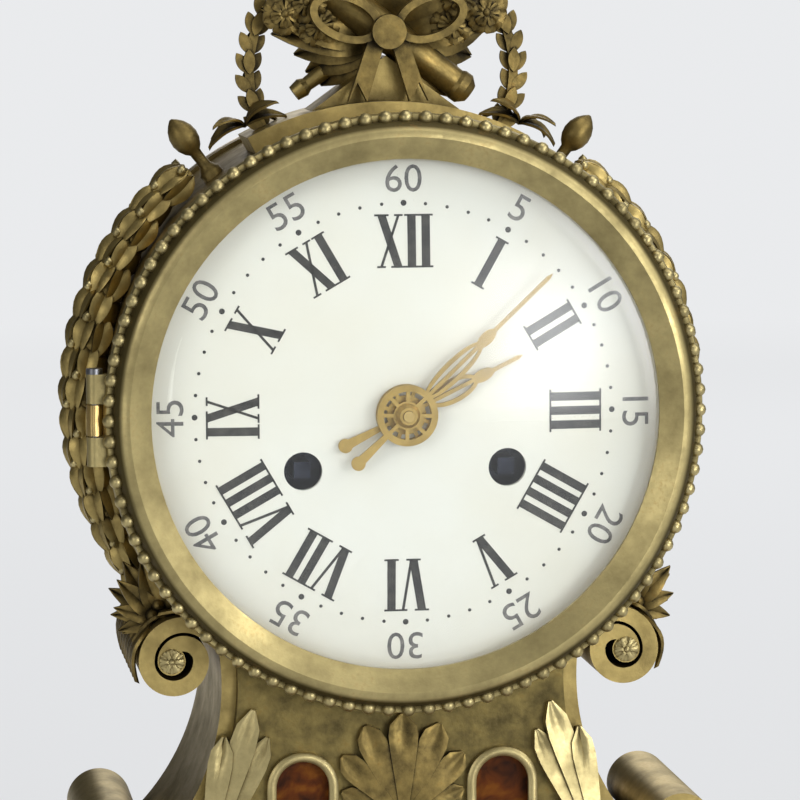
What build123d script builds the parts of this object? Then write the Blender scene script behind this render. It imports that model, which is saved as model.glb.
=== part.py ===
from build123d import *
import os
from math import acos, asin, atan2, cos, degrees, hypot, pi, radians, sin, sqrt

# A small gilt drum clock on a waisted pedestal. Millimetres, +Z up, dial facing -Y.
# Places on the clock are given as (x, z) from the middle of the dial.

# Pedestal, from the ground up
FOOT_HEIGHT = 11.0
FOOT_RADIUS = 6.8
FOOT_INSET = 13.0
PLINTH_HALF_WIDTH = 68.0
PLINTH_HALF_DEPTH = 42.0
PLINTH_CORNER = 12.0
PLINTH_HEIGHT = 14.0
PLINTH_EDGE = 2.0
FRAME_HEIGHT = 5.0
FRAME_OVERHANG = 3.0
FRAME_OGEE = 2.4
WAIST_BASE_HEIGHT = 4.0
WAIST_BASE_HALF_WIDTH = 63.5
WAIST_BASE_MARGIN = 4.0
WAIST_BASE_EDGE = 1.4
WAIST_HEIGHT = 35.2
WAIST_FRONT = -21.0
WAIST_BACK = 26.0
WAIST_WALL = 3.5
NECK_HALF_WIDTH = 32.0
NECK_RISE = 37.5
SIDE_SWEEP_RADIUS = 45.8
SCROLL_THICKNESS = 2.8
SCROLL_INSET = 2.0
FOOT_VOLUTE_RADIUS = 6.5
FOOT_VOLUTE_STEP = 1.7
PANEL_CENTRE = 18.8
PANEL_WIDTH = 11.6
PANEL_HEIGHT = 18.0
PANEL_RISE = 6.0
PANEL_THICKNESS = 2.2
PANEL_LEDGE = 1.0
BOSS_RADIUS = 4.5
BOSS_HEIGHT = 12.0
SHELL_RISE = 12.0
SHELL_BOSS = 3.4
SHELL_LOBES = 7
SHELL_SPREAD = 62.0
SHELL_LENGTH = 17.0
SHELL_DEPTH = 2.6
LOBE_TIP = 2.6
LOBE_SHORTENING = 0.4
LOBE_STEP = 0.5
BOLT_RADIUS = 1.9
BOLT_HEAD = 3.4
BOLT_HEAD_HEIGHT = 2.0
BOLT_NUT_HEIGHT = 2.4
BOLT_END = 1.0
DRUM_BOLT_YS = (-12.0, 6.0)
PLINTH_BOLT_X = 32.0
PLINTH_BOLT_Y = 2.0

# Drum, its cradle and what is fixed to the drum
DRUM_RADIUS = 53.0
DRUM_WALL = 2.0
DRUM_FRONT = -26.0
DRUM_BACK = 36.0
DRUM_BAND_WIDTH = 4.0
DRUM_BAND_HEIGHT = 0.8
CRADLE_THICKNESS = 2.9
CRADLE_FRONT = -20.0
CRADLE_REACH = 41.4
CRADLE_VOLUTE_RADIUS = 6.8
CRADLE_VOLUTE_STEP = 1.75
VOLUTE_EYE = 2.6
SEAT_GAP = 0.05
ORNAMENT_Y = 2.0
GARLAND_TOP = 50.0
GARLAND_BOTTOM = -31.0
GARLAND_HUSKS = 15
GARLAND_RADIUS = 4.2
GARLAND_END_RADIUS = 2.6
GARLAND_SINK = 0.9
HUSK_OVERLAP = 1.5
HUSK_TURN = 37.0
PEG_ANGLE = 53.0
PEG_LENGTH = 12.5
PEG_RADIUS = 3.2
PEG_ROOT = 1.0

# Openwork ornament on the drum
SADDLE_THICKNESS = 3.4
SADDLE_HALF_WIDTH = 25.6
SADDLE_HALF_DEPTH = 9.0
GABLE_INSET = 3.0
TROPHY_LIFT = 16.4
TROPHY_LEAN = 54.0
TROPHY_FOOT_LENGTH = 20.0
TROPHY_HEAD_LENGTH = 25.0
TROPHY_SPACING = 4.0
QUIVER_RADIUS = 3.6
TORCH_RADIUS = 3.4
TORCH_COLLAR = (-8.0, -5.0)
ARROWS = ((-1.5, 0.8, 6.0), (1.4, 1.0, 7.0), (0.0, -1.4, 8.0))
ARROW_RADIUS = 0.5
ARROW_ROOT = 0.5
FLETCH_LENGTH = 4.0
FLETCH_WIDTH = 2.6
FLETCH_THICKNESS = 0.6
RIBBON_DEPTH = 3.2
KNOT_RADIUS = 3.2
KNOT_PROUD = 0.8
LOOP_LENGTH = 7.0
LOOP_HEIGHT = 4.4
LOOP_WALL = 1.4
LOOP_TILT = 20.0
LOOP_PLACE = (8.0, 2.6)
TAIL_LENGTH = 13.0
TAIL_SPREAD = 7.6
TAIL_WIDTH = 3.6
TAIL_INSET = 1.0
BRANCH_SHIFT = 1.5
BRANCH_LIFT = 9.0
BRANCH_RADIUS = 23.6
BRANCH_START = -33.0
BRANCH_SWEEP = 62.0
BRANCH_STEM = 1.7
BRANCH_STATIONS = 7
LEAF_SPLAY = 30.0
LEAF_OFFSET = 0.4
LEAF_TIP_OFFSET = 0.9
LEAF_LENGTH = 4.6
LEAF_WIDTH = 2.2
LEAF_THICKNESS = 1.0

# Dial, hands, bezel and rear door
DIAL_MARGIN = 1.7
DIAL_RISE = 2.2
DIAL_THICKNESS = 1.2
DIAL_PLAY = 0.2
ENAMEL_HOLE = 3.5
HOLE_MARGIN = 0.8
PIPE_HOLE = 3.3
CARRIER_BACK = -23.3
CARRIER_THICKNESS = 1.2
FLANGE_THICKNESS = 1.5
SPIGOT_PLAY = 0.2
SPIGOT_WALL = 1.0
SPIGOT_LENGTH = 4.0
DOOR_GAP = 0.3
BEZEL_OVERHANG = 1.1
BEZEL_DEPTH = 5.8
BEZEL_WIDTH = 8.1
BEZEL_BEAD_DEPTH = 2.4
BEZEL_BEAD_SWELL = 0.3
BEZEL_QUIRK = 1.2
BEZEL_LIP = 0.9
BEZEL_COVE = 1.5
GLASS_BEARING = 2.2
GLASS_THICKNESS = 1.2
GLASS_RISE = 7.4
GLASS_SEAT_DEPTH = 2.4
GLASS_PLAY = 0.15
GLASS_EDGE = 0.6
RETAINER_INSET = 0.4
RETAINER_DROP = 0.1
HINGE_REACH = 1.9
KNUCKLE_RADIUS = 1.5
KNUCKLE_LENGTH = 5.6
KNUCKLE_GAP = 0.25
HINGE_BITE = 0.5
HINGE_PIN_RADIUS = 0.7
HINGE_WELD = 0.1
PIN_HEAD_HEIGHT = 1.0
DOOR_INSET = 0.8
DOOR_DISH = 5.0
DOOR_SHEET = 1.0
DOOR_SLANT = 0.4
THUMB_LIP = (5.0, 8.0)
SOUND_HOLE_COUNTS = (16, 12, 8)
SOUND_HOLE_INSETS = (10.5, 19.5, 28.5)
SOUND_HOLE_RADII = (2.6, 2.4, 2.2)
RING_WIDTH = 10.3
HAND_THICKNESS = 0.6
MINUTE_HAND_LENGTH = 37.0
HOUR_HAND_LENGTH = 24.0
HAND_BOSS = 5.6
SHOWN_MINUTES = 7.75
SHOWN_HOURS = 2

# Movement: plates, wheel trains and their fits
PLATE_RADIUS = 42.0
PLATE_THICKNESS = 2.0
FRONT_PLATE_Y = -16.0
PLATE_SPACE = 26.0
RUNNING_FIT = 0.05
END_SHAKE = 0.2
ARBOR_RADIUS = 0.9
PIVOT_RADIUS = 0.5
WINDING_SPREAD = 18.85
WINDING_DROP = 10.15
WINDING_SQUARE = 3.0
WINDING_ARBOR = 2.2
BARREL_RADIUS = 15.9
BARREL_FRONT = -12.5
BARREL_HEIGHT = 15.0
WHEEL_THICKNESS = 1.0
PINION_MARGIN = 0.6
RATCHET_RADIUS = 6.2
RATCHET_TEETH = 18
ESCAPE_RADIUS = 6.4
ESCAPE_TEETH = 42
ANCHOR_DISTANCE = 7.8
PENDULUM_Y = 19.4
PENDULUM_LENGTH = 103.3
ROD_RADIUS = 0.8
BOB_RADIUS = 9.0
BOB_THICKNESS = 7.0
BOB_ROOM = 1.0
PENDULUM_SWING = 4.0
SLOT_HALF_WIDTH = 9.5
SLOT_HALF_DEPTH = 5.0
BELL_RADIUS = 29.0
BELL_DEPTH = 12.5
BELL_WALL = 1.8
BELL_FRONT = 22.5
BELL_DROP = 2.0
STRAP_INSET = 5.0
STRAP_WIDTH = 8.0
STRAP_THICKNESS = 2.0
STRAP_BLOCK = 4.0
STRAP_BLOCK_LENGTH = 9.0
STRAP_SCREW = 1.3
STRAP_SCREW_LENGTH = 6.0
SCREW_HEAD = 2.1
SCREW_HEAD_HEIGHT = 0.9
SCREW_END_ROOM = 1.0
PILLAR_RADIUS = 2.2
PILLAR_CIRCLE = 38.5
PILLAR_ANGLES = (-56.0, -124.0, 35.0, 172.0)
POST_RADIUS = 2.2
POST_CIRCLE = 38.0
POST_ANGLES = (75.0, 195.0, 315.0)

# Wheels and the pinions that they drive: teeth, leaves and module
GREAT_WHEEL, GREAT_PINION, GREAT_MODULE = 72, 12, 0.48
SECOND_WHEEL, CENTRE_PINION, SECOND_MODULE = 60, 10, 0.40
CENTRE_WHEEL, THIRD_PINION, CENTRE_MODULE = 96, 8, 0.26
THIRD_WHEEL, ESCAPE_PINION, THIRD_MODULE = 88, 8, 0.26
STRIKE_WHEEL, PIN_PINION, STRIKE_MODULE = 72, 8, 0.34
PIN_WHEEL, WARNING_PINION, PIN_MODULE = 64, 8, 0.28
WARNING_WHEEL, FLY_PINION, WARNING_MODULE = 60, 8, 0.24
CANNON_LEAVES, MINUTE_WHEEL, CANNON_MODULE = 12, 36, 0.50
MINUTE_LEAVES, HOUR_WHEEL = 10, 40
LIFTING_PINS = 10
LIFTING_PIN_RADIUS = 0.4
LIFTING_PIN_LENGTH = 3.4
STRIKES_IN_A_TURN = 90
COUNT_WHEEL_RADIUS = 10.4
COUNT_WHEEL_RIM = 2.8
COUNT_NOTCH = (2.4, 1.0)

# Tooth shape as root depth, tip height (in modules), root width and tip width (in pitches)
WHEEL_TOOTH = (1.3, 0.9, 0.56, 0.20)
PINION_LEAF = (1.5, 0.7, 0.40, 0.16)

# Bearings from one arbor to the next, and depths of the wheels
THIRD_BEARING = 101.0
STRIKE_SECOND_BEARING = 100.0
PIN_BEARING = 55.0
WARNING_BEARING = 80.0
FLY_BEARING = 170.0
MINUTE_BEARING = 60.0
HAMMER = (-34.0, 19.0)
SECOND_STEP = 2.7
WHEEL_STEP = 2.2
THIRD_Y = -9.0
PIN_Y = -4.0
WARNING_Y = 1.5
RATCHET_GAP = 0.3

# Small pieces of the movement
STUD_RADIUS = 1.0
STUD_END = 1.2
CENTRE_ARBOR = 1.0
CANNON_PIPE = 1.6
HOUR_PIPE = 2.6
PIPE_PLAY = 0.1
HUB_RADIUS = 2.6
COLLET_RADIUS = 2.0
ARM_WIDTH = 1.6
THIN_ARM_WIDTH = 1.0
RIM_WALL = 0.5
GREAT_THICKNESS = 1.5
BARREL_BOSS = 4.0
BARREL_BOSS_HEIGHT = 0.8
BACK_PIVOT = 1.5
RATCHET_THICKNESS = 1.5
RATCHET_DEPTH = 0.9
RATCHET_RAKE = 0.12
SQUARE_PROUD = 1.0
CLICK_PIVOT = (10.2, 62.0)
CLICK_HEEL = (11.6, 40.0)
CLICK_NOSE_ANGLE = 28.0
CLICK_SHOULDER_ANGLE = 46.0
CLICK_NOSE_GAP = 0.2
CLICK_BOSS = 1.9
CLICK_SCREW = 1.3
CLICK_SCREW_HEIGHT = 0.8
CLICK_TAIL = (9.0, 0.8)
CLICK_TAIL_ANGLE = 135.0
TENON = 1.2
TENON_PLAY = 0.02
NUT_THICKNESS = 2.0
NUT_RADIUS = 2.6
PILLAR_COLLAR = 3.0
PILLAR_KNOP = 2.0
ANCHOR_WELL = 3.0
THROUGH_ARBOR = 0.9
COCK_HALF = 12.0
COCK_WIDTH = 7.0
COCK_FOOT = 3.2
COCK_LIFT = 2.2
COCK_THICKNESS = 1.6
BLOCK_WIDTH = 7.0
BLOCK_BOTTOM = 0.2
BLOCK_TOP = 6.6
BLOCK_REACH = 1.8
SLIT_HALF = 0.3
SLIT_TOP = 4.3
SPRING_HALF = 0.1
SPRING_HALF_WIDTH = 1.2
SPRING_TOP = 0.9
SPRING_LENGTH = 8.0
ROD_HOOK = (2.2, 2.4)
BELL_STUD = 1.2
BELL_CROWN_ANGLE = 82.0
BELL_CURVE_STEPS = 5
STAND_FOOT = (12.0, -16.0)
STAND_FLANGE = (3.6, 1.5)
STAND_POST = 1.6
STAND_ARM = (3.2, 1.6)
STAND_ARM_DROP = 4.6
STAND_BOSS = 2.2
ESCAPE_TOOTH_DEPTH = 1.1
ESCAPE_RIM = 0.8
ESCAPE_HUB = 2.2
ESCAPE_COLLET = 1.8
ESCAPE_THICKNESS = 0.8
PALLET_CLEARANCE = 0.35
PALLET_ANGLE = 36.0
PALLET_WIDTH = 1.6
ANCHOR_HUB = 1.15
ANCHOR_YOKE = (4.0, 1.2)
ANCHOR_THICKNESS = 1.2
CRUTCH_LENGTH = 22.0
CRUTCH_WIDTH = 1.4
CRUTCH_BOSS = 1.6
CRUTCH_THICKNESS = 1.0
CRUTCH_GAP = 0.6
FORK_PLAY = 0.15
FORK_PRONG = (1.0, 1.6)
FORK_REACH = 1.4
FLY_BLADE = (9.6, 0.5)
FLY_HUB = 1.1
FLY_GAP = 1.2
HAMMER_Y = 24.5
HAMMER_GAP = 0.9
HAMMER_ARM = (1.4, 1.6)
HAMMER_TAIL = (1.2, 1.4)
HAMMER_TAIL_GAP = 1.2
HAMMER_HUB = 1.8
HEAD_RADIUS = 2.6
HEAD_LENGTH = 6.0

# Hands: gaps along the centre arbor and the sizes of the pierced work
DIAL_TO_HAND = 1.2
HAND_TO_HAND = 1.6
ARBOR_END = 1.8
PIPE_PROUD = 0.2
BOSS_RIM = 1.2
BOSS_SPOKES = 4
SPOKE_WIDTH = 0.7
BOSS_EYE_WALL = 1.0
OVAL_WALL = 0.8
OVAL_OVERLAP = 1.0
NEEDLE_HALF = 0.35
NEEDLE_POINT = 1.0
SPADE = (2.2, 1.1)
TAIL_REACH = 12.5
TAIL_HALF = (0.5, 0.9)
TAIL_DISC = 1.3
MINUTE_OVAL = 1.9
HOUR_OVAL = 2.2
HAND_NUT_RADII = (1.6, 2.2)
HAND_NUT_HEIGHT = 1.2

# Heights of the pieces that stand on each other
FRAME_Z = FOOT_HEIGHT
PLINTH_Z = FRAME_Z + FRAME_HEIGHT
WAIST_BASE_Z = PLINTH_Z + PLINTH_HEIGHT
WAIST_Z = WAIST_BASE_Z + WAIST_BASE_HEIGHT
DIAL_Z = WAIST_Z + WAIST_HEIGHT + DRUM_RADIUS
WAIST_FOOT = WAIST_Z - DIAL_Z
NECK_Z = WAIST_FOOT + NECK_RISE
BACK_PLATE_Y = FRONT_PLATE_Y + 2 * PLATE_THICKNESS + PLATE_SPACE

# Radii and places that follow the drum
FLANGE_RADIUS = DRUM_RADIUS + DRUM_BAND_HEIGHT
BEZEL_RADIUS = FLANGE_RADIUS + BEZEL_OVERHANG
BEZEL_OPENING = BEZEL_RADIUS - BEZEL_WIDTH
GLASS_RADIUS = BEZEL_OPENING + GLASS_BEARING
DIAL_RADIUS = BEZEL_OPENING + DIAL_MARGIN
DOOR_RADIUS = FLANGE_RADIUS - DOOR_INSET
RING_INNER = FLANGE_RADIUS - RING_WIDTH
STRAP_X = DRUM_RADIUS - DRUM_WALL - STRAP_INSET
TROPHY_CROSSING = DRUM_RADIUS + TROPHY_LIFT
BRANCH_CENTRE = (BRANCH_SHIFT, DRUM_RADIUS + BRANCH_LIFT)


def clock_plane(y, at=(0.0, 0.0)):
    """The plane of the dial, moved to a depth y and to a place on the clock."""
    return Plane(origin=(at[0], y, DIAL_Z + at[1]), x_dir=(1, 0, 0), z_dir=(0, -1, 0))


def slab(sketch, front, back, at=(0.0, 0.0)):
    """A flat piece cut to a sketch in the dial's plane."""
    return extrude(clock_plane(back, at) * sketch, back - front)


def rod(radius, front, back, at=(0.0, 0.0)):
    return slab(Circle(radius), front, back, at)


def turned(edges, at=(0.0, 0.0)):
    """A piece turned about an axis along Y, from a profile of (radius, y)."""
    return Pos(at[0], 0, DIAL_Z + at[1]) * revolve(make_face(edges), Axis.Y)


def upright(points):
    """A piece turned about the Z axis, from a profile of (radius, z)."""
    return revolve(make_face(Polyline([(r, 0, z) for r, z in points], close=True)), Axis.Z)


def profile(*points):
    return Polyline(list(points), close=True)


def outline(*points):
    return make_face(Polyline(list(points), close=True))


def polar(radius, angle, at=(0.0, 0.0)):
    return (at[0] + radius * cos(radians(angle)), at[1] + radius * sin(radians(angle)))


def bearing(start, end):
    return degrees(atan2(end[1] - start[1], end[0] - start[0]))


def both_sides(shape):
    return shape + mirror(shape, about=Plane.YZ)


def off_drum(shape, radius=DRUM_RADIUS + SEAT_GAP):
    """A piece cut to lie on the drum, or on what is round the drum."""
    return shape - rod(radius, DRUM_FRONT, DRUM_BACK)


def band(arcs, thickness):
    """The outline of a strip that follows tangent arcs of (centre, radius, start, sweep)."""
    half = thickness / 2
    left, right = [], []
    for centre, radius, start, sweep in arcs:
        turn = 1 if sweep > 0 else -1
        left.append(CenterArc(centre, radius - turn * half, start, sweep))
        right.append(CenterArc(centre, radius + turn * half, start, sweep))
    caps = [Line(left[0] @ 0, right[0] @ 0), Line(left[-1] @ 1, right[-1] @ 1)]
    return make_face(left + right + caps)


def volute(start_arc, centre, radius, start, first_sweep, step, thickness):
    """A strip that rolls up into a volute with a round eye."""
    turn = 1 if first_sweep > 0 else -1
    arcs = list(start_arc) + [(centre, radius, start, first_sweep)]
    angle = start + first_sweep
    for _ in range(2):
        centre = polar(step, angle, centre)
        radius = radius - step
        arcs.append((centre, radius, angle, turn * 180))
        angle = angle + turn * 180
    eye = polar(radius + thickness / 2 - VOLUTE_EYE, angle, centre)
    return band(arcs, thickness) + Pos(*eye) * Circle(VOLUTE_EYE)


# Pedestal

def toupie_feet():
    r, h = FOOT_RADIUS, FOOT_HEIGHT
    foot = upright([
        (0, 0), (0.5 * r, 0), (0.62 * r, 0.1 * h), (0.94 * r, 0.34 * h), (r, 0.5 * h),
        (0.9 * r, 0.62 * h), (0.55 * r, 0.7 * h), (0.55 * r, 0.78 * h), (0.95 * r, 0.84 * h),
        (0.95 * r, h), (0, h)])
    x = PLINTH_HALF_WIDTH - FOOT_INSET
    y = PLINTH_HALF_DEPTH - FOOT_INSET
    return Compound([Pos(sx * x, sy * y, 0) * foot for sx in (-1, 1) for sy in (-1, 1)])


def bolt_holes(z, height):
    hole = extrude(Pos(PLINTH_BOLT_X, PLINTH_BOLT_Y, z) * Circle(BOLT_RADIUS + RUNNING_FIT), height)
    return both_sides(hole)


def step_block(half_width, half_depth, corner, z, height, edge, y=0.0):
    """A stepped block of the pedestal with its upper edge rounded."""
    face = Pos(0, y, z) * RectangleRounded(2 * half_width, 2 * half_depth, corner)
    block = extrude(face, height)
    block = fillet(block.faces().sort_by(Axis.Z)[-1].edges(), edge)
    return block - bolt_holes(z, height)


def bob_room():
    """The space that the bob swings in, which opens the pieces below if it hangs that low."""
    swing = PENDULUM_LENGTH * sin(radians(PENDULUM_SWING))
    reach = BOB_RADIUS + BOB_ROOM
    return Pos(0, PENDULUM_Y, DIAL_Z + ANCHOR[1] - PENDULUM_LENGTH) * Box(
        2 * (reach + swing), BOB_THICKNESS + 2 * BOB_ROOM, 2 * reach)


def plinth_frame():
    return step_block(PLINTH_HALF_WIDTH + FRAME_OVERHANG, PLINTH_HALF_DEPTH + FRAME_OVERHANG,
                      PLINTH_CORNER + FRAME_OVERHANG, FRAME_Z, FRAME_HEIGHT, FRAME_OGEE)


def marble_plinth():
    block = step_block(PLINTH_HALF_WIDTH, PLINTH_HALF_DEPTH, PLINTH_CORNER,
                       PLINTH_Z, PLINTH_HEIGHT, PLINTH_EDGE)
    return block - bob_room()


def waist_base():
    half_depth = (WAIST_BACK - WAIST_FRONT) / 2 + WAIST_BASE_MARGIN
    block = step_block(WAIST_BASE_HALF_WIDTH, half_depth, WAIST_BASE_MARGIN, WAIST_BASE_Z,
                       WAIST_BASE_HEIGHT, WAIST_BASE_EDGE, (WAIST_BACK + WAIST_FRONT) / 2)
    return block - bob_room()


CRADLE_OUTER = DRUM_RADIUS + SEAT_GAP + CRADLE_THICKNESS
CRADLE_MIDDLE = DRUM_RADIUS + SEAT_GAP + CRADLE_THICKNESS / 2
CRADLE_LIFT = CRADLE_REACH - 90
CRADLE_VOLUTE = polar(CRADLE_MIDDLE + CRADLE_VOLUTE_RADIUS, CRADLE_LIFT)
SWEEP_CENTRE = (NECK_HALF_WIDTH + SIDE_SWEEP_RADIUS, NECK_Z)
SIDE_RADIUS = SIDE_SWEEP_RADIUS + SCROLL_THICKNESS / 2 + SEAT_GAP


def waist_section(shrink, foot):
    """The front outline of the waist, or of its hollow when shrunk by a wall."""
    width = 2 * (WAIST_BASE_HALF_WIDTH - shrink)
    sheet = Pos(0, foot / 2) * Rectangle(width, -foot)
    sheet -= Circle(CRADLE_OUTER + SEAT_GAP + shrink)
    for side in (-1, 1):
        sheet -= Pos(side * SWEEP_CENTRE[0], SWEEP_CENTRE[1]) * Circle(SIDE_RADIUS + shrink)
    return max(sheet.faces(), key=lambda face: face.area)


def panel_outline(margin):
    """An arched panel of the waist's front, at its place on the right."""
    width = PANEL_WIDTH + 2 * margin
    bottom = WAIST_FOOT + PANEL_RISE - margin
    spring = WAIST_FOOT + PANEL_RISE + PANEL_HEIGHT - PANEL_WIDTH / 2
    tall = spring - bottom
    shape = Pos(PANEL_CENTRE, bottom + tall / 2) * Rectangle(width, tall)
    return shape + Pos(PANEL_CENTRE, spring) * Circle(width / 2)


def pendulum_slot():
    return Pos(0, PENDULUM_Y, DIAL_Z - DRUM_RADIUS) * Box(
        2 * SLOT_HALF_WIDTH, 2 * SLOT_HALF_DEPTH, DRUM_RADIUS / 2)


def drum_bolt_holes():
    depth = DRUM_RADIUS / 2
    hole = Cylinder(BOLT_RADIUS + RUNNING_FIT, depth)
    return [Pos(0, y, DIAL_Z - DRUM_RADIUS) * hole for y in DRUM_BOLT_YS]


def waist_casting():
    body = slab(waist_section(0, WAIST_FOOT), WAIST_FRONT, WAIST_BACK)
    hollow = slab(waist_section(WAIST_WALL, WAIST_FOOT), WAIST_FRONT + WAIST_WALL, WAIST_BACK)
    boss = extrude(Pos(PLINTH_BOLT_X, PLINTH_BOLT_Y, WAIST_Z) * Circle(BOSS_RADIUS), BOSS_HEIGHT)
    body = body - hollow + both_sides(boss) - bolt_holes(WAIST_Z, BOSS_HEIGHT)
    window = slab(panel_outline(0), WAIST_FRONT, WAIST_FRONT + WAIST_WALL)
    rebate_front = WAIST_FRONT + WAIST_WALL - PANEL_THICKNESS
    rebate = slab(panel_outline(PANEL_LEDGE), rebate_front, WAIST_FRONT + WAIST_WALL)
    body = body - both_sides(window) - both_sides(rebate) - pendulum_slot()
    for hole in drum_bolt_holes():
        body -= hole
    return body


def waist_panels():
    back = WAIST_FRONT + WAIST_WALL
    panel = slab(panel_outline(PANEL_LEDGE - SEAT_GAP), back - PANEL_THICKNESS, back)
    return Compound([panel, mirror(panel, about=Plane.YZ)])


def waist_cartouche():
    """A fluted shell of tapered lobes on the front of the waist."""
    foot = (0.0, WAIST_FOOT + SHELL_RISE)
    shell = rod(SHELL_BOSS, WAIST_FRONT - SHELL_DEPTH, WAIST_FRONT, foot)
    for n in range(SHELL_LOBES):
        share = 2 * n / (SHELL_LOBES - 1) - 1
        length = SHELL_LENGTH * (1 - LOBE_SHORTENING * share ** 2)
        lean = 90 - SHELL_SPREAD * share
        tip = polar(length, lean)
        side_a = polar(LOBE_TIP, lean + 90, tip)
        side_b = polar(LOBE_TIP, lean - 90, tip)
        lobe = outline((0, 0), side_b, side_a) + Pos(*tip) * Circle(LOBE_TIP)
        depth = SHELL_DEPTH - LOBE_STEP * (n % 2)
        shell += slab(lobe, WAIST_FRONT - depth, WAIST_FRONT, foot)
    return shell


def cradle_outline():
    hug = ((0, 0), CRADLE_MIDDLE, -90, CRADLE_REACH)
    return volute([hug], CRADLE_VOLUTE, CRADLE_VOLUTE_RADIUS, CRADLE_LIFT + 180, -(CRADLE_LIFT + 180),
                  CRADLE_VOLUTE_STEP, CRADLE_THICKNESS)


def drum_cradle():
    half = slab(cradle_outline(), CRADLE_FRONT, WAIST_BACK)
    cradle = both_sides(half) - pendulum_slot()
    for hole in drum_bolt_holes():
        cradle -= hole
    return cradle


def side_scroll_right():
    """The C-scroll at the side of the waist, standing on the foot of the waist."""
    drop = NECK_RISE - FOOT_VOLUTE_RADIUS - SCROLL_THICKNESS / 2
    turn = degrees(asin(drop / (SIDE_SWEEP_RADIUS - FOOT_VOLUTE_RADIUS)))
    top = degrees(asin((DRUM_RADIUS + NECK_Z + NECK_HALF_WIDTH / 3) / SIDE_SWEEP_RADIUS))
    side = (SWEEP_CENTRE, SIDE_SWEEP_RADIUS, 180 - top, turn + top)
    centre = polar(SIDE_SWEEP_RADIUS - FOOT_VOLUTE_RADIUS, 180 + turn, SWEEP_CENTRE)
    shape = volute([side], centre, FOOT_VOLUTE_RADIUS, 180 + turn, 180 - turn,
                   FOOT_VOLUTE_STEP, SCROLL_THICKNESS)
    under = (CRADLE_VOLUTE[0] + CRADLE_VOLUTE_STEP, CRADLE_VOLUTE[1])
    room = CRADLE_VOLUTE_RADIUS - CRADLE_VOLUTE_STEP + CRADLE_THICKNESS / 2 + SEAT_GAP
    shape -= Pos(*under) * Circle(room)
    front, back = WAIST_FRONT + SCROLL_INSET, WAIST_BACK - SCROLL_INSET
    return off_drum(slab(shape, front, back), CRADLE_OUTER + SEAT_GAP)


# Drum and the ornaments on it

def drum_shell():
    inner = DRUM_RADIUS - DRUM_WALL
    crest = DRUM_RADIUS + DRUM_BAND_HEIGHT
    front, back, wide = DRUM_FRONT, DRUM_BACK, DRUM_BAND_WIDTH
    shell = turned(profile(
        (inner, front), (crest, front), (crest, front + wide), (DRUM_RADIUS, front + wide),
        (DRUM_RADIUS, back - wide), (crest, back - wide), (crest, back), (inner, back)))
    shell -= pendulum_slot()
    for hole in drum_bolt_holes():
        shell -= hole
    return shell


def husk(radius, length):
    """One bell-shaped leaf cup of a garland, opening along +Z."""
    return upright([
        (0, 0), (0.42 * radius, 0), (0.85 * radius, 0.35 * length), (radius, 0.75 * length),
        (0.82 * radius, length), (0.5 * radius, 0.9 * length), (0, 0.85 * length)])


def garland_right():
    """Husks threaded along the side of the drum, each one seated in the one above."""
    garland = None
    sweep = GARLAND_TOP - GARLAND_BOTTOM
    step = sweep / GARLAND_HUSKS
    for n in range(GARLAND_HUSKS):
        swell = sin(pi * (n + 0.8) / (GARLAND_HUSKS + 0.6))
        radius = GARLAND_END_RADIUS + (GARLAND_RADIUS - GARLAND_END_RADIUS) * swell
        angle = GARLAND_TOP - n * step
        middle = DRUM_RADIUS + SEAT_GAP + GARLAND_RADIUS - GARLAND_SINK
        x, z = polar(middle, angle)
        length = HUSK_OVERLAP * radians(step) * middle
        lie = Rot(0, 180 - angle, 0) * Rot(0, 0, HUSK_TURN + n * step)
        bead = Pos(x, ORNAMENT_Y, DIAL_Z + z) * lie * husk(radius, length)
        garland = bead if garland is None else garland + bead
    return off_drum(garland)


def garland_pegs():
    r, h = PEG_RADIUS, PEG_LENGTH
    peg = upright([
        (0, -PEG_ROOT), (0.8 * r, -PEG_ROOT), (0.8 * r, 0.12 * h), (0.4 * r, 0.2 * h), (0.4 * r, 0.45 * h),
        (0.95 * r, 0.6 * h), (r, 0.72 * h), (0.55 * r, 0.9 * h), (0, h)])
    x, z = polar(DRUM_RADIUS + SEAT_GAP, PEG_ANGLE)
    peg = Pos(x, ORNAMENT_Y, DIAL_Z + z) * Rot(0, 90 - PEG_ANGLE, 0) * peg
    peg = off_drum(peg)
    return Compound([peg, mirror(peg, about=Plane.YZ)])


def finial_stand():
    """A saddle on the drum with a gable that carries the crossed pieces."""
    inner = DRUM_RADIUS + SEAT_GAP
    middle = inner + SADDLE_THICKNESS / 2
    reach = degrees(asin(SADDLE_HALF_WIDTH / middle))
    saddle = band([((0, 0), middle, 90 - reach, 2 * reach)], SADDLE_THICKNESS)
    slope = radians(90 - TROPHY_LEAN)
    peak = TROPHY_CROSSING - (QUIVER_RADIUS + SEAT_GAP) / cos(slope)
    half = (peak - middle) / sin(slope) * cos(slope)
    front, back = ORNAMENT_Y - SADDLE_HALF_DEPTH, ORNAMENT_Y + SADDLE_HALF_DEPTH
    triangle = outline((-half, middle), (half, middle), (0, peak))
    gable = slab(triangle, front + GABLE_INSET, back - GABLE_INSET)
    return slab(saddle, front, back) + off_drum(gable)


def leaning(shape, side, y):
    """Set a piece made along +Z on the trophy's crossing, leaning to one side."""
    return Pos(0, y, DIAL_Z + TROPHY_CROSSING) * Rot(0, side * TROPHY_LEAN, 0) * shape


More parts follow.
